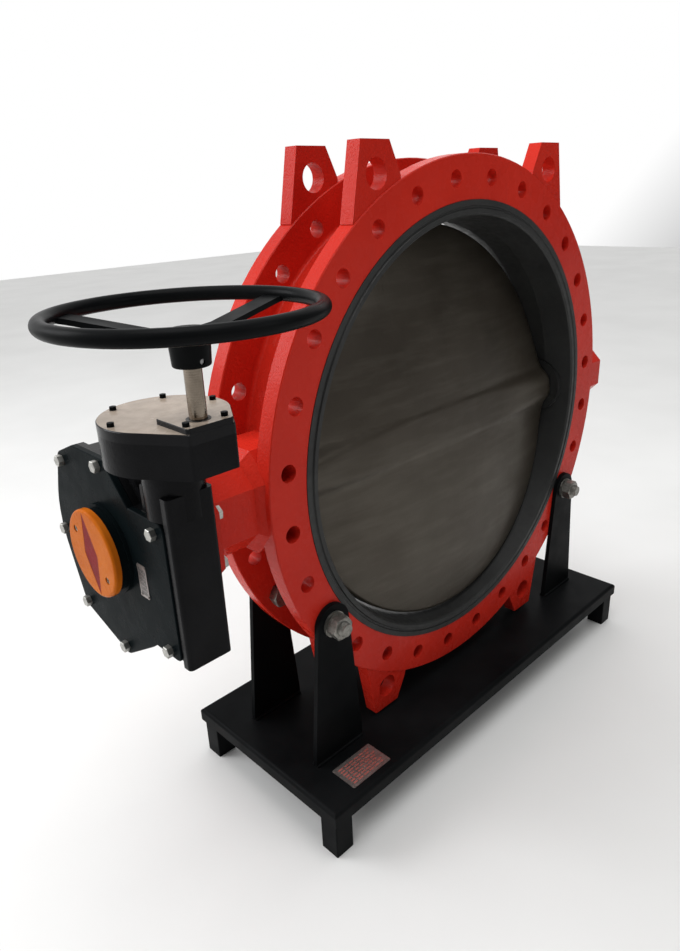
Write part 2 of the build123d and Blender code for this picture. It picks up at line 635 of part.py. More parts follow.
with BuildPart() as gear_housing:
    with BuildSketch(Plane.YZ.offset(HOUSING_FRONT_X)):
        add(cover_shape.sketch)
    extrude(amount=SHELL_FRONT_X - HOUSING_FRONT_X)
    with BuildSketch(Plane.YZ.offset(SHELL_FRONT_X)):
        add(cover_shape.sketch)
        offset(amount=-SHELL_INSET)
        with Locations(*LONG_BOLTS):
            Circle(12)
        with Locations((STEM_Y, 0)):
            Circle(CAVITY_R + NOTCH_WALL)
    extrude(amount=BASE_FLANGE_X - SHELL_FRONT_X)
    with BuildSketch(Plane.YZ.offset(BLOCK_X[0])):
        with Locations((sum(BLOCK_Y) / 2, sum(BLOCK_Z) / 2)):
            Rectangle(BLOCK_Y[1] - BLOCK_Y[0], BLOCK_Z[1] - BLOCK_Z[0])
    extrude(amount=BLOCK_X[1] - BLOCK_X[0])
    with BuildSketch(Plane.YZ.offset(LIP_X)):
        with Locations(((BLOCK_Y[0] + LIP_Y) / 2, sum(BLOCK_Z) / 2)):
            Rectangle(LIP_Y - BLOCK_Y[0], BLOCK_Z[1] - BLOCK_Z[0])
    extrude(amount=BLOCK_X[0] - LIP_X)
    block_edges = edges().filter_by(Axis.Z).filter_by(lambda e: abs(e.center().Y - BLOCK_Y[0]) < 1)
    fillet(block_edges, 8)
    upright_ring(WORM_Y, COLUMN_Z, CASE_Z[0], COLUMN_R)
    with BuildSketch(Plane.YZ.offset(BASE_FLANGE_X)):
        octagon(PAD_SIDE / 2, PAD_SIDE / 2, PAD_CHAMFER)
    extrude(amount=PAD_FACE_X - BASE_FLANGE_X)
    with BuildSketch(Plane.YZ.offset(HOUSING_FRONT_X)):
        with Locations((STEM_Y, 0)):
            Circle(CAVITY_R)
    extrude(amount=CAVITY_BACK_X - HOUSING_FRONT_X, mode=Mode.SUBTRACT)
    with BuildSketch(Plane.YZ.offset(HOUSING_FRONT_X)):
        Polygon(*NOTCH, align=None)
        offset(amount=NOTCH_WALL, kind=Kind.INTERSECTION)
        Polygon(*NOTCH, align=None, mode=Mode.SUBTRACT)
        add(cover_shape.sketch, mode=Mode.INTERSECT)
    extrude(amount=SHELL_FRONT_X + NOTCH_FACE_T - HOUSING_FRONT_X)
    with BuildSketch(Plane.YZ.offset(SHELL_FRONT_X)):
        Polygon(*NOTCH, align=None)
        offset(amount=NOTCH_WALL, kind=Kind.INTERSECTION)
        with Locations((STEM_Y, 0)):
            Circle(CAVITY_R + NOTCH_WALL, mode=Mode.INTERSECT)
    extrude(amount=NOTCH_FACE_T)
    with BuildSketch(Plane.YZ.offset(WORM_X - WORM_BORE_R)):
        with Locations((WORM_Y + 24, 0)):
            Rectangle(48, 136)
    extrude(amount=2 * WORM_BORE_R - 4, mode=Mode.SUBTRACT)
    upright_ring(WORM_Y, BEARING_LOWER_Z[0] - 1, CASE_Z[0], WORM_BORE_R, mode=Mode.SUBTRACT)
    stem_ring(CAVITY_BACK_X, WHEEL_HUB_X[1] + 1, WHEEL_HUB_R + 0.08, mode=Mode.SUBTRACT)
    stem_ring(CAVITY_BACK_X, PAD_FACE_X, STEM_R + 1.5, mode=Mode.SUBTRACT)
    for places, depth in ((LONG_BOLTS, LONG_BOLT_DEPTH), (SHORT_BOLTS, SHORT_BOLT_DEPTH)):
        with BuildSketch(Plane.YZ.offset(HOUSING_FRONT_X)):
            with Locations(*places):
                Circle(6.1)
        extrude(amount=COVER_FRONT_X + depth + 0.5 - HOUSING_FRONT_X, mode=Mode.SUBTRACT)
    with BuildSketch(Plane.YZ.offset(PAD_FACE_X)):
        with Locations((STEM_Y, 0)):
            with PolarLocations(PAD_BOLT_R, PAD_BOLT_COUNT, start_angle=180 / PAD_BOLT_COUNT):
                Circle(8)
    extrude(amount=-28, mode=Mode.SUBTRACT)
    with BuildSketch(Plane.XY.offset(CASE_Z[0])):
        with Locations((WORM_X, WORM_Y)):
            with PolarLocations(39, 4, start_angle=45):
                Circle(4.1)
    extrude(amount=-24, mode=Mode.SUBTRACT)

with BuildPart() as cover_gasket:
    with BuildSketch(Plane.YZ.offset(COVER_BACK_X)):
        add(cover_shape.sketch)
        with Locations((STEM_Y, 0)):
            Circle(CAVITY_R + 2, mode=Mode.SUBTRACT)
        bolt_circles(7, mode=Mode.SUBTRACT)
    extrude(amount=HOUSING_FRONT_X - COVER_BACK_X)

with BuildPart() as gear_cover:
    with BuildSketch(Plane.YZ.offset(COVER_BACK_X)):
        add(cover_shape.sketch)
        bolt_circles(6.6, mode=Mode.SUBTRACT)
    extrude(amount=COVER_FRONT_X - COVER_BACK_X)
    chamfer(faces().sort_by(Axis.X)[0].outer_wire().edges(), 1.5)
    stem_ring(COVER_FRONT_X, BOSS_FRONT_X, COVER_BOSS_R)
    stem_ring(BOSS_FRONT_X, BOSS_STEP_X, BOSS_STEP_R)
    stem_ring(COVER_BACK_X, BOSS_STEP_X, WHEEL_HUB_R + 0.08, mode=Mode.SUBTRACT)
    stem_ring(CAP_SEAT_X + 0.5, BOSS_STEP_X, CAP_SEAT_R + 0.3, mode=Mode.SUBTRACT)

with BuildPart() as cover_bolts:
    with Locations(Plane(origin=(COVER_FRONT_X, 0, 0), x_dir=(0, -1, 0), z_dir=(-1, 0, 0))):
        with Locations(*[(-y, z) for y, z in LONG_BOLTS]):
            add(hex_bolt(19, 10, 6, LONG_BOLT_DEPTH))
        with Locations(*[(-y, z) for y, z in SHORT_BOLTS]):
            add(hex_bolt(19, 10, 6, SHORT_BOLT_DEPTH))

PLATE_CENTRE = (-4, -24)
PLATE_SIZE = (27, 62)
with BuildPart() as gearbox_nameplate:
    with BuildSketch(Plane.YZ.offset(COVER_FRONT_X)):
        with Locations(PLATE_CENTRE):
            RectangleRounded(*PLATE_SIZE, 3)
            with GridLocations(PLATE_SIZE[0] - 7, PLATE_SIZE[1] - 7, 2, 2):
                Circle(1.2, mode=Mode.SUBTRACT)
    extrude(amount=-1)

with BuildPart() as gearbox_plate_rivets:
    with Locations(Plane(origin=(COVER_FRONT_X - 1, *PLATE_CENTRE), x_dir=(0, 1, 0), z_dir=(-1, 0, 0))):
        with GridLocations(PLATE_SIZE[0] - 7, PLATE_SIZE[1] - 7, 2, 2):
            Cylinder(1.1, 1, align=(Align.CENTER, Align.CENTER, Align.MAX))
            Cylinder(2.2, 1.2, align=(Align.CENTER, Align.CENTER, Align.MIN))


# ---- position indicator -----------------------------------------------------------------
CAP_BACK_X = WHEEL_HUB_X[0]


def lozenge(half_width, half_length):
    """Sketch the pointer's lozenge with its long diagonal along the disc."""
    Polygon((half_width, 0), (0, half_length), (-half_width, 0), (0, -half_length), align=None)


with BuildPart() as indicator_cap:
    with BuildSketch(CAP_FACE):
        Circle(CAP_R)
    extrude(amount=CAP_FRONT_X - CAP_BACK_X)
    fillet(faces().sort_by(Axis.X)[0].edges(), CAP_EDGE)
    with BuildSketch(CAP_FACE):
        lozenge(POINTER_HALF_WIDTH, POINTER_HALF_LENGTH)
    extrude(amount=-POINTER_RECESS, mode=Mode.SUBTRACT)
    with BuildSketch(CAP_FACE):
        with Locations(*cap_screw_places()):
            Circle(7)
    extrude(amount=-6, mode=Mode.SUBTRACT)
    with BuildSketch(CAP_FACE):
        with Locations(*cap_screw_places()):
            Circle(3.3)
    extrude(amount=CAP_FRONT_X - CAP_BACK_X, mode=Mode.SUBTRACT)

with BuildPart() as indicator_pointer:
    with BuildSketch(CAP_FACE.offset(-POINTER_RECESS)):
        lozenge(POINTER_HALF_WIDTH - 0.4, POINTER_HALF_LENGTH - 1.4)
    extrude(amount=POINTER_RECESS - 0.3)

with BuildPart() as indicator_screws:
    with Locations(CAP_FACE.offset(-6)):
        with Locations(*cap_screw_places()):
            Cylinder(6.2, 4, align=(Align.CENTER, Align.CENTER, Align.MIN))
            Cylinder(3, 16, align=(Align.CENTER, Align.CENTER, Align.MAX))
    with BuildSketch(CAP_FACE.offset(-2)):
        with Locations(*cap_screw_places()):
            Rectangle(8, 1.6)
            Rectangle(1.6, 8)
    extrude(amount=-1.8, mode=Mode.SUBTRACT)


# ---- spur reducer -----------------------------------------------------------------------
def case_outline():
    """Sketch the reducer's outline: a round drum drawn out to the input shaft's narrow end."""
    corner_x = CASE_HALF_X - CASE_CORNER_R
    with BuildSketch(mode=Mode.PRIVATE) as outline:
        with Locations((WORM_X, WORM_Y)):
            Circle(CASE_R)
        with Locations(*[(WORM_X + side * corner_x, CASE_END_Y + CASE_CORNER_R) for side in (1, -1)]):
            Circle(CASE_CORNER_R)
        make_hull()
    add(outline.sketch)


def lid_screw_places():
    """Where the reducer's lid screws stand: four on the drum and two on the raised pad."""
    drum = [
        (WORM_X + LID_SCREW_R * cos(radians(a)), WORM_Y + LID_SCREW_R * sin(radians(a)))
        for a in (0, 60, 120, 180)
    ]
    return drum, [(WORM_X + side * LID_PAD_SCREW_X, LID_PAD_SCREW_Y) for side in (1, -1)]


DRUM_SCREWS, PAD_SCREWS = lid_screw_places()

with BuildPart() as reducer_case:
    with BuildSketch(Plane.XY.offset(CASE_Z[0])):
        case_outline()
    extrude(amount=CASE_Z[1] - CASE_Z[0])
    with BuildSketch(Plane.XY.offset(CASE_Z[0] + CASE_FLOOR)):
        with Locations((WORM_X, WORM_Y)):
            Circle(SPUR_CAVITY_R)
        with Locations((WORM_X, INPUT_Y)):
            Circle(PINION_CAVITY_R)
        with Locations((WORM_X, (INPUT_Y + WORM_Y) / 2)):
            Rectangle(2 * PINION_CAVITY_R, WORM_Y - INPUT_Y)
    extrude(amount=CASE_Z[1] - CASE_Z[0] - CASE_FLOOR, mode=Mode.SUBTRACT)
    upright_ring(WORM_Y, CASE_Z[0], CASE_Z[1], WORM_BORE_R, mode=Mode.SUBTRACT)
    upright_ring(INPUT_Y, CASE_Z[0] + 2, CASE_Z[1], 15, mode=Mode.SUBTRACT)
    with BuildSketch(Plane.XY.offset(CASE_Z[0])):
        with Locations((WORM_X, WORM_Y)):
            with PolarLocations(39, 4, start_angle=45):
                Circle(4.5)
    extrude(amount=CASE_FLOOR, mode=Mode.SUBTRACT)
    with BuildSketch(Plane.XY.offset(CASE_Z[0] + CASE_FLOOR)):
        with Locations((WORM_X, WORM_Y)):
            with PolarLocations(39, 4, start_angle=45):
                Circle(7.2)
    extrude(amount=-9, mode=Mode.SUBTRACT)
    with BuildSketch(Plane.XY.offset(CASE_Z[1])):
        with Locations(*DRUM_SCREWS, *PAD_SCREWS):
            Circle(3.1)
    extrude(amount=-20, mode=Mode.SUBTRACT)

with BuildPart() as reducer_case_screws:
    with Locations(Plane.XY.offset(CASE_Z[0] + CASE_FLOOR - 9)):
        with Locations((WORM_X, WORM_Y)):
            with PolarLocations(39, 4, start_angle=45):
                Cylinder(6.5, 8, align=(Align.CENTER, Align.CENTER, Align.MIN))
                Cylinder(4, 26, align=(Align.CENTER, Align.CENTER, Align.MAX))

with BuildPart() as reducer_lid:
    with BuildSketch(Plane.XY.offset(CASE_Z[1])):
        case_outline()
    extrude(amount=LID_TOP - CASE_Z[1])
    chamfer(faces().sort_by(Axis.Z)[-1].outer_wire().edges(), 1.5)
    with BuildSketch(Plane.XY.offset(LID_TOP)):
        with Locations((WORM_X, (CASE_END_Y + LID_PAD_Y) / 2)):
            RectangleRounded(2 * CASE_HALF_X - 3, LID_PAD_Y - CASE_END_Y - 3, CASE_CORNER_R)
    extrude(amount=LID_PAD_TOP - LID_TOP)
    chamfer(faces().sort_by(Axis.Z)[-1].outer_wire().edges(), 1)
    upright_ring(INPUT_Y, CASE_Z[1], LID_PAD_TOP, 18, mode=Mode.SUBTRACT)
    with BuildSketch(Plane.XY.offset(CASE_Z[1])):
        with Locations(*DRUM_SCREWS, *PAD_SCREWS):
            Circle(3.3)
    extrude(amount=LID_PAD_TOP - CASE_Z[1], mode=Mode.SUBTRACT)

with BuildPart() as reducer_screws:
    with Locations(Plane.XY.offset(LID_TOP)):
        with Locations(*DRUM_SCREWS):
            add(hex_bolt(10, 6, 3, 32))
    with Locations(Plane.XY.offset(LID_PAD_TOP)):
        with Locations(*PAD_SCREWS):
            add(hex_bolt(10, 6, 3, 38))

with BuildPart() as input_bush_lower:
    upright_ring(INPUT_Y, CASE_Z[0] + 2.5, CASE_Z[0] + CASE_FLOOR, 15 - FIT, 10 + FIT)

with BuildPart() as input_bush_upper:
    upright_ring(INPUT_Y, CASE_Z[1] + 0.5, LID_PAD_TOP - 6, 18 - FIT, INPUT_R + FIT)

with BuildPart() as input_seal:
    upright_ring(INPUT_Y, LID_PAD_TOP - 5.8, LID_PAD_TOP + 0.5, 18 - FIT, INPUT_R + 0.35)

# ---- input shaft and handwheel ----------------------------------------------------------
with BuildPart() as pinion_shaft:
    upright_ring(INPUT_Y, CASE_Z[0] + 3, GEAR_Z[0] - 2, 10)
    spur_teeth(INPUT_Y, SPUR_MODULE, PINION_TEETH, 180 / PINION_TEETH, (GEAR_Z[0] - 2, GEAR_Z[1] + 2))
    upright_ring(INPUT_Y, GEAR_Z[1] + 2, HUB_Z[1] - 3, INPUT_R)
    with BuildSketch(Plane.XZ.offset(-INPUT_Y - 60)):
        with Locations((WORM_X, HANDWHEEL_PIN_Z)):
            Circle(HANDWHEEL_PIN_R + FIT)
    extrude(amount=120, mode=Mode.SUBTRACT)

with BuildPart() as handwheel_hub:
    for hub_z, hub_r in zip(HUB_Z, HUB_R):
        with BuildSketch(Plane.XY.offset(hub_z)):
            with Locations((WORM_X, INPUT_Y)):
                Circle(hub_r)
    loft()
    fillet(edges().filter_by(GeomType.CIRCLE), 3)
    upright_ring(INPUT_Y, HUB_Z[0], HUB_Z[1], INPUT_R + FIT, mode=Mode.SUBTRACT)
    with BuildSketch(Plane.XZ.offset(-INPUT_Y - 60)):
        with Locations((WORM_X, HANDWHEEL_PIN_Z)):
            Circle(HANDWHEEL_PIN_R + FIT)
    extrude(amount=120, mode=Mode.SUBTRACT)

with BuildPart() as handwheel_pin:
    with BuildSketch(Plane.XZ.offset(-INPUT_Y - 25)):
        with Locations((WORM_X, HANDWHEEL_PIN_Z)):
            Circle(HANDWHEEL_PIN_R)
    extrude(amount=50)

with BuildPart() as handwheel_rim:
    with Locations((WORM_X, INPUT_Y, WHEEL_Z)):
        Torus(RIM_R, RIM_TUBE_R)


def handwheel_spoke(angle):
    """One dished flat-bar spoke, cut to meet the hub and the rim."""
    along = (cos(radians(angle)), sin(radians(angle)), 0)
    across = (sin(radians(angle)), -cos(radians(angle)), 0)
    half_t = SPOKE_T / 2
    lower = [(r, z - half_t) for r, z in SPOKE_PATH]
    upper = [(r, z + half_t) for r, z in reversed(SPOKE_PATH)]
    with BuildPart() as spoke:
        with BuildSketch(Plane(origin=(WORM_X, INPUT_Y, 0), x_dir=along, z_dir=across)):
            Polygon(*lower, *upper, align=None)
        extrude(amount=SPOKE_WIDTH / 2, both=True)
        upright_ring(INPUT_Y, HUB_Z[0], HUB_Z[1] + 10, HUB_R[1] + FIT, mode=Mode.SUBTRACT)
        with Locations((WORM_X, INPUT_Y, WHEEL_Z)):
            Torus(RIM_R, RIM_TUBE_R + FIT, mode=Mode.SUBTRACT)
    return spoke


# ---- stand ------------------------------------------------------------------------------
with BuildPart() as stand_tray:
    with BuildSketch(Plane.XY.offset(TRAY_TOP - TRAY_RIM)):
        with Locations((0, STEM_Y)):
            Rectangle(TRAY_X, TRAY_Y)
    extrude(amount=TRAY_RIM)
    fillet(edges().group_by(Axis.Z)[-1], TRAY_EDGE)
    with BuildSketch(Plane.XY.offset(TRAY_TOP - TRAY_RIM)):
        with Locations((0, STEM_Y)):
            Rectangle(TRAY_X - 2 * TRAY_SHEET, TRAY_Y - 2 * TRAY_SHEET)
    extrude(amount=TRAY_RIM - TRAY_SHEET, mode=Mode.SUBTRACT)


def stand_leg(side_x, side_y):
    """One square-tube leg with a closed foot, in a corner under the tray."""
    x = side_x * (TRAY_X / 2 - TRAY_SHEET - LEG_SIDE / 2)
    y = STEM_Y + side_y * (TRAY_Y / 2 - TRAY_SHEET - LEG_SIDE / 2)
    with BuildPart() as leg:
        with BuildSketch(Plane.XY.offset(FLOOR_Z)):
            with Locations((x, y)):
                RectangleRounded(LEG_SIDE, LEG_SIDE, 3)
        extrude(amount=TRAY_TOP - TRAY_SHEET - FLOOR_Z)
        with BuildSketch(Plane.XY.offset(FLOOR_Z + LEG_WALL)):
            with Locations((x, y)):
                Rectangle(LEG_SIDE - 2 * LEG_WALL, LEG_SIDE - 2 * LEG_WALL)
        extrude(amount=TRAY_TOP - TRAY_SHEET - FLOOR_Z, mode=Mode.SUBTRACT)
    return leg


def upright_bolt_place(side_x):
    """Centre of the flange hole that holds an upright, across the pipe."""
    angle = radians(UPRIGHT_BOLT_ANGLE)
    return side_x * BOLT_CIRCLE_R * cos(angle), -BOLT_CIRCLE_R * sin(angle)


def stand_upright(side_x, outer_y, side_y):
    """One tapered plate with a round top, flat against a flange face."""
    bolt_x, bolt_z = upright_bolt_place(side_x)
    with BuildPart() as upright:
        with BuildSketch(Plane.XZ.offset(-outer_y)):
            with Locations((bolt_x, bolt_z)):
                Circle(UPRIGHT_TOP_R)
            with Locations((side_x * sum(UPRIGHT_BASE) / 2, TRAY_TOP + 10)):
                Rectangle(UPRIGHT_BASE[1] - UPRIGHT_BASE[0], 20)
            make_hull()
            with Locations((bolt_x, bolt_z)):
                Circle(BOLT_HOLE_R, mode=Mode.SUBTRACT)
        extrude(amount=side_y * UPRIGHT_T)
    return upright


with BuildPart() as upright_welds:
    bead = [(0, 0), (WELD_LEG, 0), (0, WELD_LEG)]
    for side_x in (1, -1):
        for plate_y, way in ((-UPRIGHT_T, -1), (0, 1), (FACE_TO_FACE, -1), (FACE_TO_FACE + UPRIGHT_T, 1)):
            with BuildSketch(Plane.YZ.offset(side_x * UPRIGHT_BASE[0])):
                with Locations((plate_y, TRAY_TOP)):
                    Polygon(*[(way * y, z) for y, z in bead], align=None)
            extrude(amount=side_x * (UPRIGHT_BASE[1] - UPRIGHT_BASE[0]))

UPRIGHT_SIDES = ((1, -1), (-1, -1), (1, 1), (-1, 1))


def fastener_plane(side_x, side_y, distance):
    """Plane on an upright's bolt axis, outward from the flange, at a distance outside its face."""
    bolt_x, bolt_z = upright_bolt_place(side_x)
    face_y = 0 if side_y < 0 else FACE_TO_FACE
    origin = (bolt_x, face_y + side_y * distance, bolt_z)
    return Plane(origin=origin, x_dir=(bolt_z, 0, -bolt_x), z_dir=(0, side_y, 0))


with BuildPart() as upright_bolts:
    reach = FLANGE_T + UPRIGHT_T + M33_WASHER[1] + M33_NUT + M33_END
    for side_x, side_y in UPRIGHT_SIDES:
        head_plane = fastener_plane(side_x, side_y, -FLANGE_T)
        with BuildSketch(head_plane):
            RegularPolygon(M33_FLATS / 2, 6, major_radius=False)
        extrude(amount=-M33_HEAD)
        with BuildSketch(head_plane):
            Circle(M33_R)
        extrude(amount=reach)
    chamfer(edges().filter_by(GeomType.CIRCLE).group_by(Axis.Y)[0], 2)
    chamfer(edges().filter_by(GeomType.CIRCLE).group_by(Axis.Y)[-1], 2)

with BuildPart() as upright_washers:
    for side_x, side_y in UPRIGHT_SIDES:
        with BuildSketch(fastener_plane(side_x, side_y, UPRIGHT_T)):
            Circle(M33_WASHER[0])
            Circle(M33_R + FIT, mode=Mode.SUBTRACT)
        extrude(amount=M33_WASHER[1])

with BuildPart() as upright_nuts:
    for side_x, side_y in UPRIGHT_SIDES:
        with BuildSketch(fastener_plane(side_x, side_y, UPRIGHT_T + M33_WASHER[1])):
            RegularPolygon(M33_FLATS / 2, 6, major_radius=False)
            Circle(M33_R + FIT, mode=Mode.SUBTRACT)
        extrude(amount=M33_NUT)
    outer = edges().filter_by(GeomType.LINE)
    chamfer(outer.group_by(Axis.Y)[0] + outer.group_by(Axis.Y)[-1], 1.5)

STAND_PLATE = (-492.5, -82)
STAND_PLATE_SIZE = (120, 72)
with BuildPart() as stand_nameplate:
    with BuildSketch(Plane.XY.offset(TRAY_TOP)):
        with Locations(STAND_PLATE):
            RectangleRounded(*STAND_PLATE_SIZE, 3)
            with GridLocations(STAND_PLATE_SIZE[0] - 9, STAND_PLATE_SIZE[1] - 9, 2, 2):
                Circle(1.7, mode=Mode.SUBTRACT)
    extrude(amount=1)

with BuildPart() as stand_plate_rivets:
    with Locations(Plane.XY.offset(TRAY_TOP + 1)):
        with Locations(STAND_PLATE):
            with GridLocations(STAND_PLATE_SIZE[0] - 9, STAND_PLATE_SIZE[1] - 9, 2, 2):
                Cylinder(1.6, 1, align=(Align.CENTER, Align.CENTER, Align.MAX))
                Cylinder(3, 1.4, align=(Align.CENTER, Align.CENTER, Align.MIN))

# ---- write every piece ------------------------------------------------------------------
PIECES = {
    "valve_body": valve_body,
    "seat_liner": seat_liner,
    "stem_bush_gear_side": stem_bush_gear_side,
    "stem_bush_end_side": stem_bush_end_side,
    "stem_o_rings": stem_o_rings,
    "thrust_washer": thrust_washer,
    "end_cover": end_cover,
    "end_cover_screws": end_cover_screws,
    "pad_bolts": pad_bolts,
    "disc": disc,
    "disc_pins": disc_pins,
    "drive_shaft": drive_shaft,
    "stub_shaft": stub_shaft,
    "wheel_key": wheel_key,
    "worm_wheel": worm_wheel,
    "worm_shaft": worm_shaft,
    "gear_key": gear_key,
    "spur_gear": spur_gear,
    "gear_retaining_nut": gear_retaining_nut,
    "worm_bearing_lower": worm_bearing_lower,
    "worm_bearing_upper": worm_bearing_upper,
    "worm_bearing_nut": worm_bearing_nut,
    "gear_housing": gear_housing,
    "cover_gasket": cover_gasket,
    "gear_cover": gear_cover,
    "cover_bolts": cover_bolts,
    "gearbox_nameplate": gearbox_nameplate,
    "gearbox_plate_rivets": gearbox_plate_rivets,
    "indicator_cap": indicator_cap,
    "indicator_pointer": indicator_pointer,
    "indicator_screws": indicator_screws,
    "reducer_case": reducer_case,
    "reducer_case_screws": reducer_case_screws,
    "reducer_lid": reducer_lid,
    "reducer_screws": reducer_screws,
    "input_bush_lower": input_bush_lower,
    "input_bush_upper": input_bush_upper,
    "input_seal": input_seal,
    "pinion_shaft": pinion_shaft,
    "handwheel_hub": handwheel_hub,
    "handwheel_pin": handwheel_pin,
    "handwheel_rim": handwheel_rim,
    "stand_tray": stand_tray,
    "upright_welds": upright_welds,
    "upright_bolts": upright_bolts,
    "upright_washers": upright_washers,
    "upright_nuts": upright_nuts,
    "stand_nameplate": stand_nameplate,
    "stand_plate_rivets": stand_plate_rivets,
}

for number, spoke_angle in enumerate(SPOKE_ANGLES, start=1):
    PIECES[f"handwheel_spoke_{number}"] = handwheel_spoke(spoke_angle)

for end_name, side_y, face_y in (("front", -1, 0), ("rear", 1, FACE_TO_FACE)):
    for side_name, side_x in (("left", -1), ("right", 1)):
        PIECES[f"leg_{end_name}_{side_name}"] = stand_leg(side_x, side_y)
        PIECES[f"upright_{end_name}_{side_name}"] = stand_upright(side_x, face_y, -side_y)

os.makedirs("parts", exist_ok=True)
for name, piece in PIECES.items():
    save(piece, name)
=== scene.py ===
import json
from math import atan2, cos, hypot, pi, radians, sin, sqrt, tan

import bpy
from mathutils import Matrix, Vector, noise


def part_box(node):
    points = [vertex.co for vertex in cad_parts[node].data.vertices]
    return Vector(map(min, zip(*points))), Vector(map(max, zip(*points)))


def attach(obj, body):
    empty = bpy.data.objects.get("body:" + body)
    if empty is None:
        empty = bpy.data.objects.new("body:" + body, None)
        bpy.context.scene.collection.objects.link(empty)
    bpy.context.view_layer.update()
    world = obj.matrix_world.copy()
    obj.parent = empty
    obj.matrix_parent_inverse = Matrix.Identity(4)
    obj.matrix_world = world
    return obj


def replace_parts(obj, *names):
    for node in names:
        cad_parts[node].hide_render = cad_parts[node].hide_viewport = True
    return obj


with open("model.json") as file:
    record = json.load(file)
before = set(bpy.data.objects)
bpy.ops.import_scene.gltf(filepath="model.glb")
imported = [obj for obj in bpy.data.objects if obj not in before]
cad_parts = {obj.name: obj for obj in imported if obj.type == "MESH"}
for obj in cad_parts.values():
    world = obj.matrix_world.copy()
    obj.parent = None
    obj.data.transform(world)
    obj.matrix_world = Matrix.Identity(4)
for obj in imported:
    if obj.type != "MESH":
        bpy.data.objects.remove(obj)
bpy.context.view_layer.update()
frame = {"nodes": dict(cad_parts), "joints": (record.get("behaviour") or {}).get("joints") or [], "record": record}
NODES = frame["nodes"]

# ---- shared places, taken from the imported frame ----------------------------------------
CAP_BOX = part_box("indicator_cap")
FLOOR_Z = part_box("leg_front_left")[0].z
STEM_Y = (CAP_BOX[0].y + CAP_BOX[1].y) / 2
DISC_TURN = [j for j in frame["joints"] if j["name"] == "disc_turn"][0]
DISC_TILT = -radians(DISC_TURN["range_deg"][0])


# ---- camera, floor and light ------------------------------------------------------------
CAMERA_PLACE = (-1.3732, -0.9802, 0.5629)
CAMERA_AZIMUTH = radians(-43.55)
CAMERA_ELEVATION = radians(21.88)
CAMERA_ROLL = radians(-2.58)
CAMERA_LENS = 26.8
SENSOR_WIDTH = 36
WINDOW_DIRECTION = (-0.10, 0.80, 0.59)
WORLD_LEVELS = ((0.30, 0.04), (0.50, 0.09), (0.62, 1.0))
COOL_WHITE = (0.97, 0.98, 1.0)
PLAIN_WHITE = (1, 1, 1)
FLOOR_HALF = 14
FLOOR_GAP = 0.0005


def make_camera():
    """The camera on the gearbox side, above the handwheel, looking down the tray."""
    data = bpy.data.cameras.new("camera")
    data.lens = CAMERA_LENS
    data.sensor_width = SENSOR_WIDTH
    data.clip_start = 0.05
    camera = bpy.data.objects.new("camera", data)
    bpy.context.scene.collection.objects.link(camera)
    turn = (
        Matrix.Rotation(CAMERA_AZIMUTH, 4, "Z")
        @ Matrix.Rotation(pi / 2 - CAMERA_ELEVATION, 4, "X")
        @ Matrix.Rotation(CAMERA_ROLL, 4, "Z")
    )
    camera.matrix_world = Matrix.Translation(CAMERA_PLACE) @ turn
    bpy.context.scene.camera = camera


def area_light(name, place, target, size, power, colour):
    """A square soft light that faces a target."""
    data = bpy.data.lights.new(name, "AREA")
    data.size = size
    data.energy = power
    data.color = colour
    light = bpy.data.objects.new(name, data)
    light.location = place
    light.rotation_euler = (Vector(target) - Vector(place)).to_track_quat("-Z", "Y").to_euler()
    bpy.context.scene.collection.objects.link(light)


def make_light():
    """A sky that is bright toward one side, a key behind the gearbox, a top and a front light."""
    world = bpy.data.worlds.new("studio")
    world.use_nodes = True
    tree = world.node_tree
    place = tree.nodes.new("ShaderNodeTexCoord").outputs["Generated"]
    toward = tree.nodes.new("ShaderNodeVectorMath")
    toward.operation = "DOT_PRODUCT"
    toward.inputs[1].default_value = WINDOW_DIRECTION
    tree.links.new(place, toward.inputs[0])
    spread = tree.nodes.new("ShaderNodeMapRange")
    spread.inputs["From Min"].default_value = -1
    tree.links.new(toward.outputs["Value"], spread.inputs["Value"])
    ramp = tree.nodes.new("ShaderNodeValToRGB")
    tree.links.new(spread.outputs["Result"], ramp.inputs["Fac"])
    elements = ramp.color_ramp.elements
    elements.new(0.5)
    for element, (position, level) in zip(elements, WORLD_LEVELS):
        element.position = position
        element.color = (level, level, level, 1)
    tree.links.new(ramp.outputs["Color"], tree.nodes["Background"].inputs["Color"])
    bpy.context.scene.world = world
    area_light("key", (-3.4, 3.4, 2.6), (-0.2, 0.1, 0.1), 2.4, 105, COOL_WHITE)
    area_light("top", (-0.9, -0.4, 3.6), (0, 0.1, 0), 2.6, 62, PLAIN_WHITE)
    area_light("front", (1.6, -4.4, 2.4), (0.1, 0, 0), 2.0, 30, PLAIN_WHITE)


def make_floor():
    """A plain pale floor under the stand's legs."""
    data = bpy.data.meshes.new("floor")
    corners = [(-1, -1), (1, -1), (1, 1), (-1, 1)]
    level = FLOOR_Z - FLOOR_GAP
    data.from_pydata([(x * FLOOR_HALF, y * FLOOR_HALF, level) for x, y in corners], [], [(0, 1, 2, 3)])
    floor = bpy.data.objects.new("floor", data)
    bpy.context.scene.collection.objects.link(floor)
    material = Shader("pale_floor")
    material.set(roughness=0.7)
    cloud = material.noise(1.5, 3)
    material.colour(material.ramp(cloud, [(0.3, (0.80, 0.80, 0.79)), (0.7, (0.85, 0.85, 0.84))]))
    floor.data.materials.append(material.material)


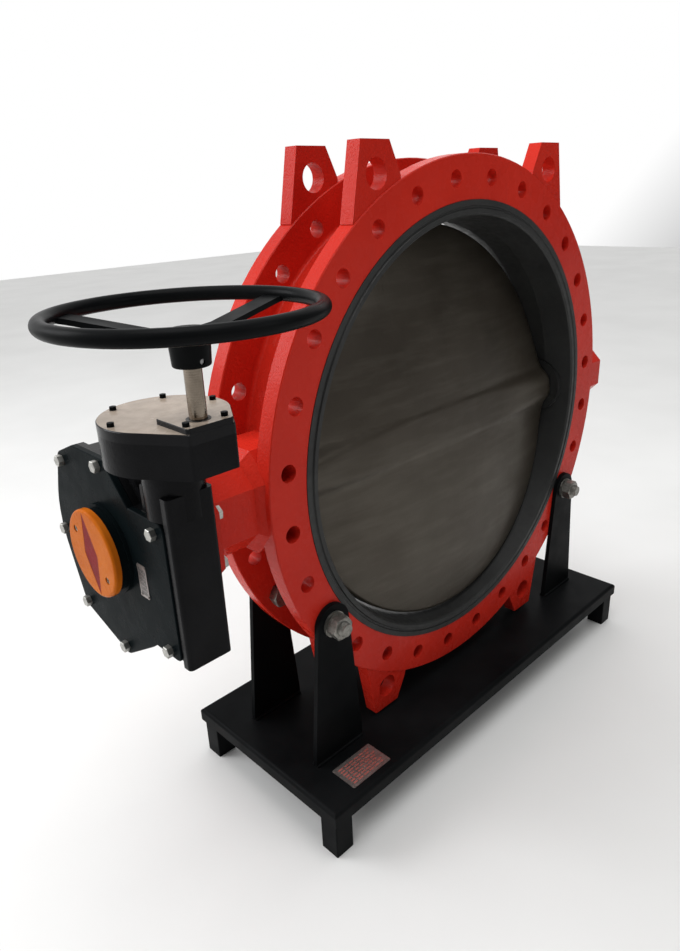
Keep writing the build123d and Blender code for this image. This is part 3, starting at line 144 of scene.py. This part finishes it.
# ---- materials --------------------------------------------------------------------------
class Shader:
    """A procedural material: the principled shader and short ways to wire its textures."""

    def __init__(self, name):
        self.material = bpy.data.materials.new(name)
        self.material.use_nodes = True
        self.tree = self.material.node_tree
        self.shader = self.tree.nodes["Principled BSDF"]
        self.place = self.tree.nodes.new("ShaderNodeTexCoord").outputs["Object"]

    def set(self, metallic=0.0, roughness=0.5, coat=0.0, coat_roughness=0.1, specular=0.5):
        """Values that are the same all over the surface."""
        self.shader.inputs["Metallic"].default_value = metallic
        self.shader.inputs["Roughness"].default_value = roughness
        self.shader.inputs["Coat Weight"].default_value = coat
        self.shader.inputs["Coat Roughness"].default_value = coat_roughness
        self.shader.inputs["Specular IOR Level"].default_value = specular

    def add(self, kind, inputs, **settings):
        """Add a node; each input is a value or another node's output."""
        node = self.tree.nodes.new(kind)
        for key, value in settings.items():
            setattr(node, key, value)
        for key, value in inputs.items():
            if isinstance(value, bpy.types.NodeSocket):
                self.tree.links.new(value, node.inputs[key])
            else:
                node.inputs[key].default_value = value
        return node

    def math(self, operation, first, second=0.0):
        """One arithmetic step."""
        return self.add("ShaderNodeMath", {0: first, 1: second}, operation=operation).outputs[0]

    def noise(self, scale, detail=2, roughness=0.5, stretch=(1, 1, 1)):
        """Cloudy noise at a scale in features per metre."""
        mapping = self.add("ShaderNodeMapping", {"Vector": self.place, "Scale": stretch})
        inputs = {"Vector": mapping.outputs[0], "Scale": scale, "Detail": detail}
        inputs["Roughness"] = roughness
        return self.add("ShaderNodeTexNoise", inputs).outputs["Fac"]

    def ramp(self, factor, stops):
        """Colours or greys at stops along a factor."""
        node = self.add("ShaderNodeValToRGB", {"Fac": factor})
        elements = node.color_ramp.elements
        while len(elements) < len(stops):
            elements.new(0.5)
        for element, (position, colour) in zip(elements, stops):
            shade = colour if isinstance(colour, tuple) else (colour,) * 3
            element.position = position
            element.color = (*shade, 1)
        return node.outputs["Color"]

    def mix(self, factor, first, second):
        """Blend two colours by a factor."""
        node = self.add("ShaderNodeMix", {}, data_type="RGBA")
        for index, value in ((0, factor), (6, first), (7, second)):
            if isinstance(value, bpy.types.NodeSocket):
                self.tree.links.new(value, node.inputs[index])
            else:
                node.inputs[index].default_value = value if index == 0 else (*value, 1)
        return node.outputs[2]

    def colour(self, socket):
        """Wire the base colour."""
        self.tree.links.new(socket, self.shader.inputs["Base Color"])

    def roughness(self, socket):
        """Wire the roughness."""
        self.tree.links.new(socket, self.shader.inputs["Roughness"])

    def bump(self, *layers):
        """Stack bump layers, each (height, depth in metres)."""
        normal = None
        for height, depth in layers:
            inputs = {"Height": height, "Distance": depth, "Strength": 1.0}
            if normal is not None:
                inputs["Normal"] = normal
            normal = self.add("ShaderNodeBump", inputs).outputs["Normal"]
        self.tree.links.new(normal, self.shader.inputs["Normal"])


BODY_RING_R = 0.628
BODY_MIDDLE_Y = STEM_Y
TURNED_FACE_DEPTH = 0.001


def machined_mask(shader):
    """1 on the turned ring of both flange faces, 0 on the cast skin."""
    parts = shader.add("ShaderNodeSeparateXYZ", {0: shader.place}).outputs
    across = shader.math("POWER", parts["X"], 2.0)
    radius = shader.math("SQRT", shader.math("ADD", across, shader.math("POWER", parts["Z"], 2.0)))
    inside = shader.math("LESS_THAN", radius, BODY_RING_R)
    normal = shader.add("ShaderNodeNewGeometry", {}).outputs["Normal"]
    facing = shader.math("ABSOLUTE", shader.add("ShaderNodeSeparateXYZ", {0: normal}).outputs["Y"])
    middle = shader.math("SUBTRACT", parts["Y"], BODY_MIDDLE_Y)
    reach = BODY_MIDDLE_Y - TURNED_FACE_DEPTH
    outer = shader.math("GREATER_THAN", shader.math("ABSOLUTE", middle), reach)
    return shader.math("MULTIPLY", shader.math("MULTIPLY", inside, outer), facing)


def red_enamel():
    """Thick red gloss enamel over sand casting, smoother on the turned flange faces."""
    shader = Shader("red_enamel")
    shader.set(roughness=0.3, coat=0.04, coat_roughness=0.05, specular=0.07)
    mask = machined_mask(shader)
    cloud = shader.noise(4, 4)
    skin = shader.ramp(cloud, [(0.30, (0.49, 0.018, 0.010)), (0.72, (0.60, 0.028, 0.015))])
    ring = shader.ramp(cloud, [(0.30, (0.50, 0.022, 0.013)), (0.72, (0.60, 0.030, 0.017))])
    shader.colour(shader.mix(mask, skin, ring))
    rough = shader.ramp(shader.noise(30, 3), [(0.3, 0.20), (0.7, 0.34)])
    shader.roughness(rough)
    sand = shader.math("MULTIPLY", shader.noise(190, 3, 0.6), shader.math("SUBTRACT", 1.0, mask))
    peel = shader.noise(420, 2)
    waves = shader.noise(14, 2)
    shader.bump((waves, 0.0012), (sand, 0.0011), (peel, 0.00012))
    return shader.material


def seat_rubber():
    """Matt black moulded rubber with faint bloom."""
    shader = Shader("seat_rubber")
    shader.set(roughness=0.55, specular=0.4)
    bloom = shader.noise(9, 4, 0.6)
    shader.colour(shader.ramp(bloom, [(0.35, (0.010, 0.010, 0.010)), (0.75, (0.021, 0.022, 0.021))]))
    shader.roughness(shader.ramp(shader.noise(60, 3), [(0.3, 0.42), (0.7, 0.60)]))
    shader.bump((shader.noise(350, 2), 0.00012))
    return shader.material


def disc_coating():
    """Satin coating on the cast disc: brown-grey clouds, wiped streaks and fine grain."""
    shader = Shader("disc_coating")
    shader.set(metallic=0.55, roughness=0.42)
    stains = [(0.28, (0.044, 0.035, 0.025)), (0.52, (0.060, 0.049, 0.036)), (0.78, (0.080, 0.069, 0.053))]
    base = shader.ramp(shader.noise(2.6, 5, 0.55), stains)
    streak = shader.noise(5, 4, 0.6, stretch=(1.0, 1.0, 7.0))
    wiped = shader.ramp(streak, [(0.45, (0, 0, 0)), (0.75, (0.35, 0.35, 0.35))])
    shader.colour(shader.mix(wiped, base, (0.125, 0.112, 0.09)))
    shader.roughness(shader.ramp(shader.noise(7, 5, 0.6), [(0.3, 0.34), (0.7, 0.52)]))
    shader.bump((shader.noise(12, 3), 0.0008), (shader.noise(260, 3), 0.00018))
    return shader.material


def black_gloss(name, dark, light, sand_depth, rough, specular, coat):
    """Glossy black casting paint over a grainy skin."""
    shader = Shader(name)
    shader.set(roughness=0.2, coat=coat, coat_roughness=0.05, specular=specular)
    shader.colour(shader.ramp(shader.noise(8, 4), [(0.3, dark), (0.7, light)]))
    shader.roughness(shader.ramp(shader.noise(25, 3), [(0.3, rough[0]), (0.7, rough[1])]))
    waves = shader.noise(16, 2)
    sand = shader.noise(230, 3, 0.6)
    shader.bump((waves, 0.0010), (sand, sand_depth), (shader.noise(500, 1), 0.0001))
    return shader.material


def gloss_with_painted_top_reflection(name):
    """Gloss black paint with a pale beige painted reflection of the surroundings on its upward faces."""
    shader = Shader(name)
    shader.set(roughness=0.2, coat=0.06, coat_roughness=0.05, specular=0.08)
    cloud = shader.noise(8, 4)
    paint = shader.ramp(cloud, [(0.3, (0.004, 0.004, 0.005)), (0.7, (0.009, 0.009, 0.010))])
    reflection_mottle = shader.noise(35, 5, 0.7)
    # Pale beige colour for the upward faces: a painted reflection of the bright surroundings in the gloss, not a
    # coat of dust.
    dust_and_painted_reflection = shader.ramp(reflection_mottle, [(0.3, (0.30, 0.245, 0.195)), (0.7, (0.42, 0.345, 0.28))])
    normal = shader.add("ShaderNodeNewGeometry", {}).outputs["Normal"]
    level = shader.add("ShaderNodeSeparateXYZ", {0: normal}).outputs["Z"]
    # Faces whose normal points up (Z above 0.9) take the painted reflection colour; the other faces keep the black
    # paint.
    shader.colour(shader.mix(shader.math("GREATER_THAN", level, 0.9), paint, dust_and_painted_reflection))
    shader.roughness(shader.ramp(shader.noise(25, 3), [(0.3, 0.14), (0.7, 0.28)]))
    shader.bump((shader.noise(16, 2), 0.0006), (shader.noise(230, 3, 0.6), 0.0002))
    return shader.material


def black_satin(name, rough=(0.34, 0.5), wave=0.0006):
    """Satin black paint on rolled steel, a little dusty."""
    shader = Shader(name)
    shader.set(roughness=0.4, specular=0.03)
    dust_and_painted_reflection = shader.noise(5, 5, 0.6)
    shader.colour(shader.ramp(dust_and_painted_reflection, [(0.35, (0.0034, 0.0038, 0.0042)), (0.75, (0.008, 0.0085, 0.009))]))
    shader.roughness(shader.ramp(shader.noise(18, 4), [(0.3, rough[0]), (0.7, rough[1])]))
    shader.bump((shader.noise(7, 2), wave), (shader.noise(380, 2), 0.0001))
    return shader.material


def turned_steel(name, dark, light, rough, ring_axis="Z", rings=900):
    """Bare steel with fine turning lines along one axis and a little tarnish."""
    shader = Shader(name)
    shader.set(metallic=1.0, roughness=rough)
    tarnish = shader.noise(22, 4, 0.6)
    shader.colour(shader.ramp(tarnish, [(0.3, dark), (0.7, light)]))
    shader.roughness(shader.ramp(shader.noise(45, 3), [(0.3, rough * 0.8), (0.7, rough * 1.3)]))
    wave = shader.add(
        "ShaderNodeTexWave",
        {"Vector": shader.place, "Scale": rings / 10, "Distortion": 1.5, "Detail": 2.0},
        bands_direction=ring_axis,
    ).outputs["Fac"]
    shader.bump((wave, 0.00004), (shader.noise(160, 2), 0.00006))
    return shader.material


def zinc_plate(name, dark, light, rough=0.38):
    """Dull zinc plating with a mottled spangle and grime."""
    shader = Shader(name)
    shader.set(metallic=0.9, roughness=rough)
    mottle = shader.noise(140, 4, 0.65)
    shader.colour(shader.ramp(mottle, [(0.3, dark), (0.7, light)]))
    shader.roughness(shader.ramp(shader.noise(90, 3), [(0.3, rough * 0.8), (0.7, rough * 1.35)]))
    shader.bump((shader.noise(220, 3), 0.0002))
    return shader.material


def moulded_plastic(name, dark, light):
    """Glossy moulded plastic with soft sink marks and fine scuffs."""
    shader = Shader(name)
    shader.set(roughness=0.25, coat=0.01, coat_roughness=0.08, specular=0.025)
    shader.colour(shader.ramp(shader.noise(20, 4), [(0.3, dark), (0.7, light)]))
    shader.roughness(shader.ramp(shader.noise(70, 4, 0.6), [(0.3, 0.20), (0.7, 0.36)]))
    shader.bump((shader.noise(24, 2), 0.0005), (shader.noise(600, 2), 0.00004))
    return shader.material


def fibre_gasket():
    """Dark compressed fibre sheet."""
    shader = Shader("fibre_gasket")
    shader.set(roughness=0.85)
    fibres = shader.noise(300, 4)
    shader.colour(shader.ramp(fibres, [(0.3, (0.03, 0.03, 0.028)), (0.7, (0.07, 0.07, 0.065))]))
    shader.bump((shader.noise(500, 3), 0.0002))
    return shader.material


def plain_bronze():
    """Machined bronze of the bushes and the worm wheel."""
    return turned_steel("plain_bronze", (0.42, 0.24, 0.09), (0.60, 0.38, 0.16), 0.3, "X")


def brushed_plate():
    """Brushed aluminium of the blank plates."""
    shader = Shader("brushed_plate")
    shader.set(metallic=0.85, roughness=0.35)
    grain = shader.noise(60, 4, 0.6, stretch=(1, 14, 14))
    shader.colour(shader.ramp(grain, [(0.3, (0.24, 0.21, 0.20)), (0.7, (0.38, 0.34, 0.32))]))
    shader.roughness(shader.ramp(grain, [(0.3, 0.28), (0.7, 0.48)]))
    shader.bump((grain, 0.00005))
    return shader.material


def printed_ink(name, dark, light):
    """Flat printing ink on the blank plates."""
    shader = Shader(name)
    shader.set(roughness=0.55)
    shader.colour(shader.ramp(shader.noise(250, 3), [(0.3, dark), (0.7, light)]))
    shader.bump((shader.noise(400, 2), 0.00005))
    return shader.material


MATERIALS = {
    "body_paint": red_enamel(),
    "seat_rubber": seat_rubber(),
    "seal_rubber": seat_rubber(),
    "bronze": plain_bronze(),
    "zinc_steel": zinc_plate("zinc_steel", (0.30, 0.30, 0.28), (0.52, 0.51, 0.48)),
    "stainless": turned_steel("stainless", (0.42, 0.41, 0.40), (0.56, 0.55, 0.53), 0.25, "X"),
    "plain_steel": turned_steel("plain_steel", (0.26, 0.26, 0.26), (0.40, 0.40, 0.40), 0.35),
    "input_steel": turned_steel("input_steel", (0.17, 0.14, 0.11), (0.30, 0.25, 0.20), 0.22),
    "bolt_steel": zinc_plate("bolt_steel", (0.17, 0.165, 0.15), (0.34, 0.33, 0.30), 0.42),
    "black_steel": black_satin("black_steel"),
    "disc_iron": disc_coating(),
    "gearbox_paint": black_gloss(
        "gearbox_paint", (0.004, 0.004, 0.0045), (0.010, 0.010, 0.011), 0.0004, (0.10, 0.22), 0.05, 0.01
    ),
    "cover_paint": black_gloss(
        "cover_paint", (0.003, 0.005, 0.006), (0.005, 0.008, 0.009), 0.00025, (0.22, 0.36), 0.012, 0.0
    ),
    "gasket": fibre_gasket(),
    "plate_metal": brushed_plate(),
    "indicator_orange": moulded_plastic("indicator_orange", (0.48, 0.105, 0.005), (0.56, 0.14, 0.009)),
    "pointer_red": moulded_plastic("pointer_red", (0.17, 0.003, 0.004), (0.23, 0.006, 0.008)),
    "handwheel_paint": black_satin("handwheel_paint", (0.24, 0.42), 0.0004),
    "stand_paint": black_satin("stand_paint"),
}
# The reducer lid gets the black gloss with the painted reflection on its top faces.
FINISH_OF_NODE = {"reducer_lid": gloss_with_painted_top_reflection("lid_gloss_painted_reflection")}
INKS = {
    "grey_ink": printed_ink("grey_ink", (0.05, 0.05, 0.05), (0.09, 0.09, 0.09)),
    "red_ink": printed_ink("red_ink", (0.26, 0.06, 0.05), (0.36, 0.10, 0.08)),
}
SLOT_OF_NODE = {s["node"]: s["material_slot"] for s in frame["record"]["subparts"]}


def dress_cad_nodes():
    """Give every CAD node its slot's procedural material."""
    for name, node in NODES.items():
        for material_slot in node.material_slots:
            material_slot.material = FINISH_OF_NODE.get(name, MATERIALS[SLOT_OF_NODE[name]])


# ---- mesh helpers -----------------------------------------------------------------------
def mesh_piece(name, vertices, faces, body, slot, smooth=True):
    """A new piece from points and faces, riding on a body, in a slot's material."""
    data = bpy.data.meshes.new(name)
    data.from_pydata(vertices, [], faces)
    data.validate()
    data.update()
    piece = bpy.data.objects.new(name, data)
    bpy.context.scene.collection.objects.link(piece)
    data.materials.append(INKS[slot] if slot in INKS else MATERIALS[slot])
    for polygon in data.polygons:
        polygon.use_smooth = smooth
    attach(piece, body)
    return piece


def ring_faces(rings, count):
    """Faces between closed rings of the same count of points."""
    faces = []
    for ring in range(rings - 1):
        for step in range(count):
            near = ring * count + step
            far = ring * count + (step + 1) % count
            faces.append((near, far, far + count, near + count))
    return faces


def join_shapes(*shapes):
    """One list of points and faces from several."""
    vertices, faces = [], []
    for points, polygons in shapes:
        start = len(vertices)
        vertices += list(points)
        faces += [tuple(index + start for index in face) for face in polygons]
    return vertices, faces


# ---- disc -------------------------------------------------------------------------------
DISC_R = 0.4893
DISC_RIM_HALF = 0.012
DISC_CROWN = 0.0535
DISC_HUB_R = 0.050
DISC_TIP_R = 0.045
DISC_BLEND = 0.060
DISC_CAP_BLEND = 0.006
DISC_FULLNESS = 3.0
DISC_FLAT_X = 0.4795
DISC_EDGE_SWELL = 0.030
DISC_SWELL_START = 0.55
DISC_SWELL_HALF = 0.15
DISC_SPOKES = 288
DISC_RINGS = 72
DISC_EDGE_STEPS = 6


def smooth_greater(first, second, reach):
    """The larger of two heights, rounded where they meet."""
    gap = max(reach - abs(first - second), 0) / reach
    return max(first, second) + gap * gap * reach / 4


def disc_height(x, along):
    """Half thickness of the disc at a point in its own plane."""
    share = min(hypot(x, along) / DISC_R, 1)
    lens = DISC_RIM_HALF + (DISC_CROWN - DISC_RIM_HALF) * (1 - share**DISC_FULLNESS)
    outward = max(0, abs(x) / DISC_FLAT_X - DISC_SWELL_START) / (1 - DISC_SWELL_START)
    hub_r = DISC_HUB_R - (DISC_HUB_R - DISC_TIP_R) * outward**2
    inside = hub_r**2 - along**2
    hub = sqrt(inside) if inside > 0 else hub_r - abs(along)
    swell = DISC_EDGE_SWELL * outward * max(0, 1 - abs(along) / DISC_SWELL_HALF) ** 2
    blended = smooth_greater(lens + swell, hub, DISC_BLEND)
    return -smooth_greater(-blended, -DISC_CROWN, DISC_CAP_BLEND)


def rim_point(angle):
    """Outline point of the disc inside its sphere and between the seat's flat stem pads."""
    x, along = DISC_R * cos(angle), DISC_R * sin(angle)
    for _ in range(6):
        x = max(-DISC_FLAT_X, min(DISC_FLAT_X, x))
        height = disc_height(x, along)
        reach = sqrt(max(DISC_R**2 - height**2, 0))
        scale = min(1, reach / hypot(x, along))
        x, along = x * scale, along * scale
    return x, along


def disc_points():
    """Rings of points over one face, round the edge and back over the other, as (x, along, height)."""
    outline = [rim_point(2 * pi * step / DISC_SPOKES) for step in range(DISC_SPOKES)]
    shares = [ring / DISC_RINGS for ring in range(1, DISC_RINGS + 1)]
    points = []
    for share in shares:
        points += [(x * share, a * share, disc_height(x * share, a * share)) for x, a in outline]
    for step in range(1, DISC_EDGE_STEPS):
        level = 1 - 2 * step / DISC_EDGE_STEPS
        for x, a in outline:
            height = disc_height(x, a) * level
            radius = sqrt(max(DISC_R**2 - height**2, 0))
            scale = max(1.0, radius / hypot(x, a))
            edge_x = max(-DISC_FLAT_X, min(DISC_FLAT_X, x * scale))
            points.append((edge_x, a * scale if abs(edge_x) < DISC_FLAT_X else a, height))
    for share in reversed(shares):
        points += [(x * share, a * share, -disc_height(x * share, a * share)) for x, a in outline]
    return points


def make_disc():
    """The cast disc: a shallow lens with the stem hub blended into both faces."""
    points = disc_points()
    total_rings = 2 * DISC_RINGS + DISC_EDGE_STEPS - 1
    faces = ring_faces(total_rings, DISC_SPOKES)
    centre = len(points)
    points += [(0, 0, disc_height(0, 0)), (0, 0, -disc_height(0, 0))]
    last = (total_rings - 1) * DISC_SPOKES
    for step in range(DISC_SPOKES):
        following = (step + 1) % DISC_SPOKES
        faces.append((centre, following, step))
        faces.append((centre + 1, last + step, last + following))
    normal = Vector((0, -cos(DISC_TILT), sin(DISC_TILT)))
    upward = Vector((0, sin(DISC_TILT), cos(DISC_TILT)))
    middle = Vector((0, STEM_Y, 0))
    placed = [middle + Vector((x, 0, 0)) + upward * a + normal * h for x, a, h in points]
    faces = [tuple(reversed(face)) for face in faces]
    piece = mesh_piece("disc_casting", placed, faces, "disc_and_stem", "disc_iron")
    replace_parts(piece, "disc")


# ---- fasteners --------------------------------------------------------------------------
HEX_FLATS = 0.050
HEX_CHAMFER_SHARE = 0.96
HEX_CHAMFER_SLOPE = tan(radians(30))
NUT_HEIGHT = 0.026
NUT_BORE_R = 0.0166
HEAD_HEIGHT = 0.021
HEAD_CORE_R = 0.010
SHANK_R = 0.0164
SHANK_LENGTH = 0.055
THREAD_LENGTH = 0.0455
THREAD_PITCH = 0.0035
THREAD_DEPTH_SHARE = 0.55
THREAD_CHAMFER = 0.0005


def hex_radius(angle, flats):
    """Distance from a hexagon's centre to its edge, a flat facing angle zero."""
    turn = (angle + pi / 6) % (pi / 3) - pi / 6
    return flats / 2 / cos(turn)


def hex_solid(flats, height, bore, chamfer_both, steps=72):
    """Points and faces of a hexagon along +Z with turned chamfers and a hole of radius bore."""
    chamfer_r = flats / 2 * HEX_CHAMFER_SHARE
    vertices = []

    def ring(radius_of, level_of):
        for step in range(steps):
            angle = 2 * pi * step / steps
            radius = radius_of(angle)
            vertices.append((radius * cos(angle), radius * sin(angle), level_of(radius)))

    low_cut = HEX_CHAMFER_SLOPE if chamfer_both else 0
    ring(lambda a: bore, lambda r: 0)
    ring(lambda a: chamfer_r, lambda r: 0)
    ring(lambda a: hex_radius(a, flats), lambda r: (r - chamfer_r) * low_cut)
    ring(lambda a: hex_radius(a, flats), lambda r: height - (r - chamfer_r) * HEX_CHAMFER_SLOPE)
    ring(lambda a: chamfer_r, lambda r: height)
    ring(lambda a: bore, lambda r: height)
    ring(lambda a: bore, lambda r: 0)
    return vertices, [tuple(reversed(face)) for face in ring_faces(7, steps)]


def turned_solid(profile, steps=48):
    """Points and faces of a closed turned shape about +Z, from (radius, level) pairs."""
    vertices = []
    for radius, level in profile:
        for step in range(steps):
            angle = 2 * pi * step / steps
            vertices.append((radius * cos(angle), radius * sin(angle), level))
    faces = ring_faces(len(profile), steps)
    faces.append(tuple(reversed(range(steps))))
    faces.append(tuple(range((len(profile) - 1) * steps, len(profile) * steps)))
    return vertices, faces


def thread_profile(radius, pitch, start, end):
    """A threaded length as (radius, level) pairs, ending in a chamfer."""
    depth = pitch * THREAD_DEPTH_SHARE
    pairs = [(radius - depth, start)]
    level = start
    while level + pitch < end:
        pairs += [(radius, level + pitch * 0.5), (radius - depth, level + pitch)]
        level += pitch
    return pairs + [(radius - depth, end - THREAD_CHAMFER), (radius - 1.8 * depth, end)]


def placed_copies(shape, frames):
    """One mesh of a shape repeated at several frames."""
    vertices, faces = [], []
    for matrix in frames:
        start = len(vertices)
        vertices += [matrix @ Vector(v) for v in shape[0]]
        faces += [tuple(index + start for index in face) for face in shape[1]]
    return vertices, faces


def axis_frame(origin, direction, twist=0.0):
    """A frame at a point whose Z runs along a direction."""
    turn = Vector(direction).to_track_quat("Z", "Y").to_matrix().to_4x4()
    return Matrix.Translation(origin) @ turn @ Matrix.Rotation(twist, 4, "Z")


def solids_of(node):
    """Boxes of the separate solids in a CAD node, as (centre, lowest, highest)."""
    data = NODES[node].data
    parent = list(range(len(data.vertices)))

    def root(index):
        while parent[index] != index:
            parent[index] = parent[parent[index]]
            index = parent[index]
        return index

    keys = {}
    for vertex in data.vertices:
        key = tuple(round(c, 6) for c in vertex.co)
        other = keys.setdefault(key, vertex.index)
        parent[root(vertex.index)] = root(other)
    for edge in data.edges:
        parent[root(edge.vertices[0])] = root(edge.vertices[1])
    groups = {}
    for vertex in data.vertices:
        groups.setdefault(root(vertex.index), []).append(vertex.co)
    boxes = []
    for points in groups.values():
        low = Vector([min(p[i] for p in points) for i in range(3)])
        high = Vector([max(p[i] for p in points) for i in range(3)])
        boxes.append(((low + high) / 2, low, high))
    return sorted(boxes, key=lambda b: tuple(round(c, 4) for c in b[0]))


def bolt_faces(node):
    """Each solid's outer and inner ends along the pipe, its outward way and its turn about it."""
    for centre, low, high in solids_of(node):
        outward = -1 if centre.y < STEM_Y else 1
        near, far = (high.y, low.y) if outward < 0 else (low.y, high.y)
        inner_end = Vector((centre.x, near, centre.z))
        outer_end = Vector((centre.x, far, centre.z))
        yield inner_end, outer_end, outward, atan2(centre.z, centre.x)


def make_upright_nuts():
    """The four nuts of the uprights, chamfered on both faces."""
    frames = [
        axis_frame(inner_end, (0, outward, 0), turn)
        for inner_end, outer_end, outward, turn in bolt_faces("upright_nuts")
    ]
    vertices, faces = placed_copies(hex_solid(HEX_FLATS, NUT_HEIGHT, NUT_BORE_R, True), frames)
    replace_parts(mesh_piece("hex_nuts", vertices, faces, "valve", "bolt_steel", False), "upright_nuts")


def make_upright_bolts():
    """The four M33 bolts of the uprights, with chamfered heads and real threads."""
    tip_frames, head_frames = [], []
    flip = Matrix.Rotation(pi, 4, "X") @ Matrix.Translation((0, 0, -HEAD_HEIGHT))
    for inner_end, outer_end, outward, turn in bolt_faces("upright_bolts"):
        tip_frames.append(axis_frame(outer_end, (0, -outward, 0)))
        head_frames.append(axis_frame(inner_end, (0, outward, 0), turn) @ flip)
    tip = thread_profile(SHANK_R, THREAD_PITCH, 0.0, THREAD_LENGTH)
    thread = turned_solid([(radius, THREAD_LENGTH - level) for radius, level in reversed(tip)])
    shank = turned_solid([(SHANK_R, 0.0), (SHANK_R, SHANK_LENGTH)])
    past_thread = Matrix.Translation((0, 0, THREAD_LENGTH))
    vertices, faces = join_shapes(
        placed_copies(thread, tip_frames),
        placed_copies(hex_solid(HEX_FLATS, HEAD_HEIGHT, HEAD_CORE_R, False), head_frames),
        placed_copies(shank, [matrix @ past_thread for matrix in tip_frames]),
    )
    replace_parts(mesh_piece("hex_bolts", vertices, faces, "valve", "bolt_steel", False), "upright_bolts")


# ---- stand ------------------------------------------------------------------------------
WELD_RIPPLE = 0.0045
WELD_STATION = 0.0015
WELD_SIZE = 0.0068
WELD_ROUND_STEPS = 7
UPRIGHT_MIDDLES = [
    sum(corner.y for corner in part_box(name)) / 2 for name in ("upright_front_left", "upright_rear_left")
]


def weld_bead(low, high, number):
    """One rippled fillet along X, against the upright on its inner or outer side."""
    middle_y = (low.y + high.y) / 2
    upright_y = min(UPRIGHT_MIDDLES, key=lambda y: abs(y - middle_y))
    plate_y, way = (high.y, -1) if middle_y < upright_y else (low.y, 1)
    length = high.x - low.x
    stations = int(length / WELD_STATION)
    vertices = []
    for station in range(stations + 1):
        x = low.x + length * station / stations
        ripple = 1 + 0.10 * sin(2 * pi * station * WELD_STATION / WELD_RIPPLE)
        wander = 1 + 0.14 * noise.noise(Vector((x * 60, number * 7.0, 0)))
        end = min(1, 0.35 + min(station, stations - station) / 3)
        size = WELD_SIZE * ripple * wander * end
        for step in range(WELD_ROUND_STEPS):
            angle = pi / 2 * step / (WELD_ROUND_STEPS - 1)
            bulge = size * (0.86 + 0.10 * sin(2 * angle))
            vertices.append((x, plate_y + way * bulge * cos(angle), low.z + bulge * sin(angle)))
        vertices.append((x, plate_y, low.z))
    count = WELD_ROUND_STEPS + 1
    faces = ring_faces(stations + 1, count)
    faces.append(tuple(range(count)))
    faces.append(tuple(reversed(range(stations * count, (stations + 1) * count))))
    return vertices, faces


def make_weld_beads():
    """Fillet welds along both faces of every upright's foot."""
    beads = enumerate(solids_of("upright_welds"))
    shapes = [weld_bead(low, high, number) for number, (centre, low, high) in beads]
    vertices, faces = join_shapes(*shapes)
    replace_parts(mesh_piece("weld_beads", vertices, faces, "valve", "stand_paint"), "upright_welds")


# ---- blank plates -------------------------------------------------------------------------
PRINT_LIFT = 0.00012
PRINT_THICKNESS = 0.0002
ALONG = Vector((1, 0, 0))
ACROSS = Vector((0, 1, 0))
UP = Vector((0, 0, 1))


def box_shape(centre, along, across, normal, size):
    """Points and faces of a thin block from its centre, axes and sizes."""
    corners = [(i, j, k) for k in (-0.5, 0.5) for j in (-0.5, 0.5) for i in (-0.5, 0.5)]
    points = [
        centre + along * (i * size[0]) + across * (j * size[1]) + normal * (k * size[2])
        for i, j, k in corners
    ]
    faces = [(0, 2, 3, 1), (4, 5, 7, 6), (0, 1, 5, 4), (2, 6, 7, 3), (0, 4, 6, 2), (1, 3, 7, 5)]
    return points, faces


def make_plate_lines(plate, along, across, normal, rows, ink):
    """Printed bars in rows on a plate, standing for its unreadable small print."""
    low, high = (Vector(corner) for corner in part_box(plate))
    middle = (low + high) / 2
    spread = high - low
    length = abs(spread.dot(along))
    width = abs(spread.dot(across))
    face = middle + normal * (abs(spread.dot(normal)) / 2 + PRINT_LIFT)
    shapes = []
    for row in range(rows):
        level = width * (0.80 * (row + 0.5) / rows - 0.40)
        start = -length * 0.42
        while start < length * 0.34:
            chance = 0.5 + 0.5 * noise.noise(Vector((start * 900, row * 3.7, 1.3)))
            bar = length * (0.06 + 0.10 * chance)
            centre = face + across * level + along * (start + bar / 2)
            size = (bar, width * 0.42 / rows, PRINT_THICKNESS)
            shapes.append(box_shape(centre, along, across, normal, size))
            start += bar + length * 0.03
    vertices, faces = join_shapes(*shapes)
    mesh_piece(plate + "_print", vertices, faces, "valve", ink, False)


# ---- run --------------------------------------------------------------------------------
bpy.context.scene.view_settings.view_transform = "Standard"
make_camera()
make_light()
make_floor()
dress_cad_nodes()
make_disc()
make_upright_nuts()
make_upright_bolts()
make_weld_beads()
make_plate_lines("stand_nameplate", ALONG, ACROSS, UP, 7, "red_ink")
make_plate_lines("gearbox_nameplate", UP, ACROSS, -ALONG, 5, "grey_ink")
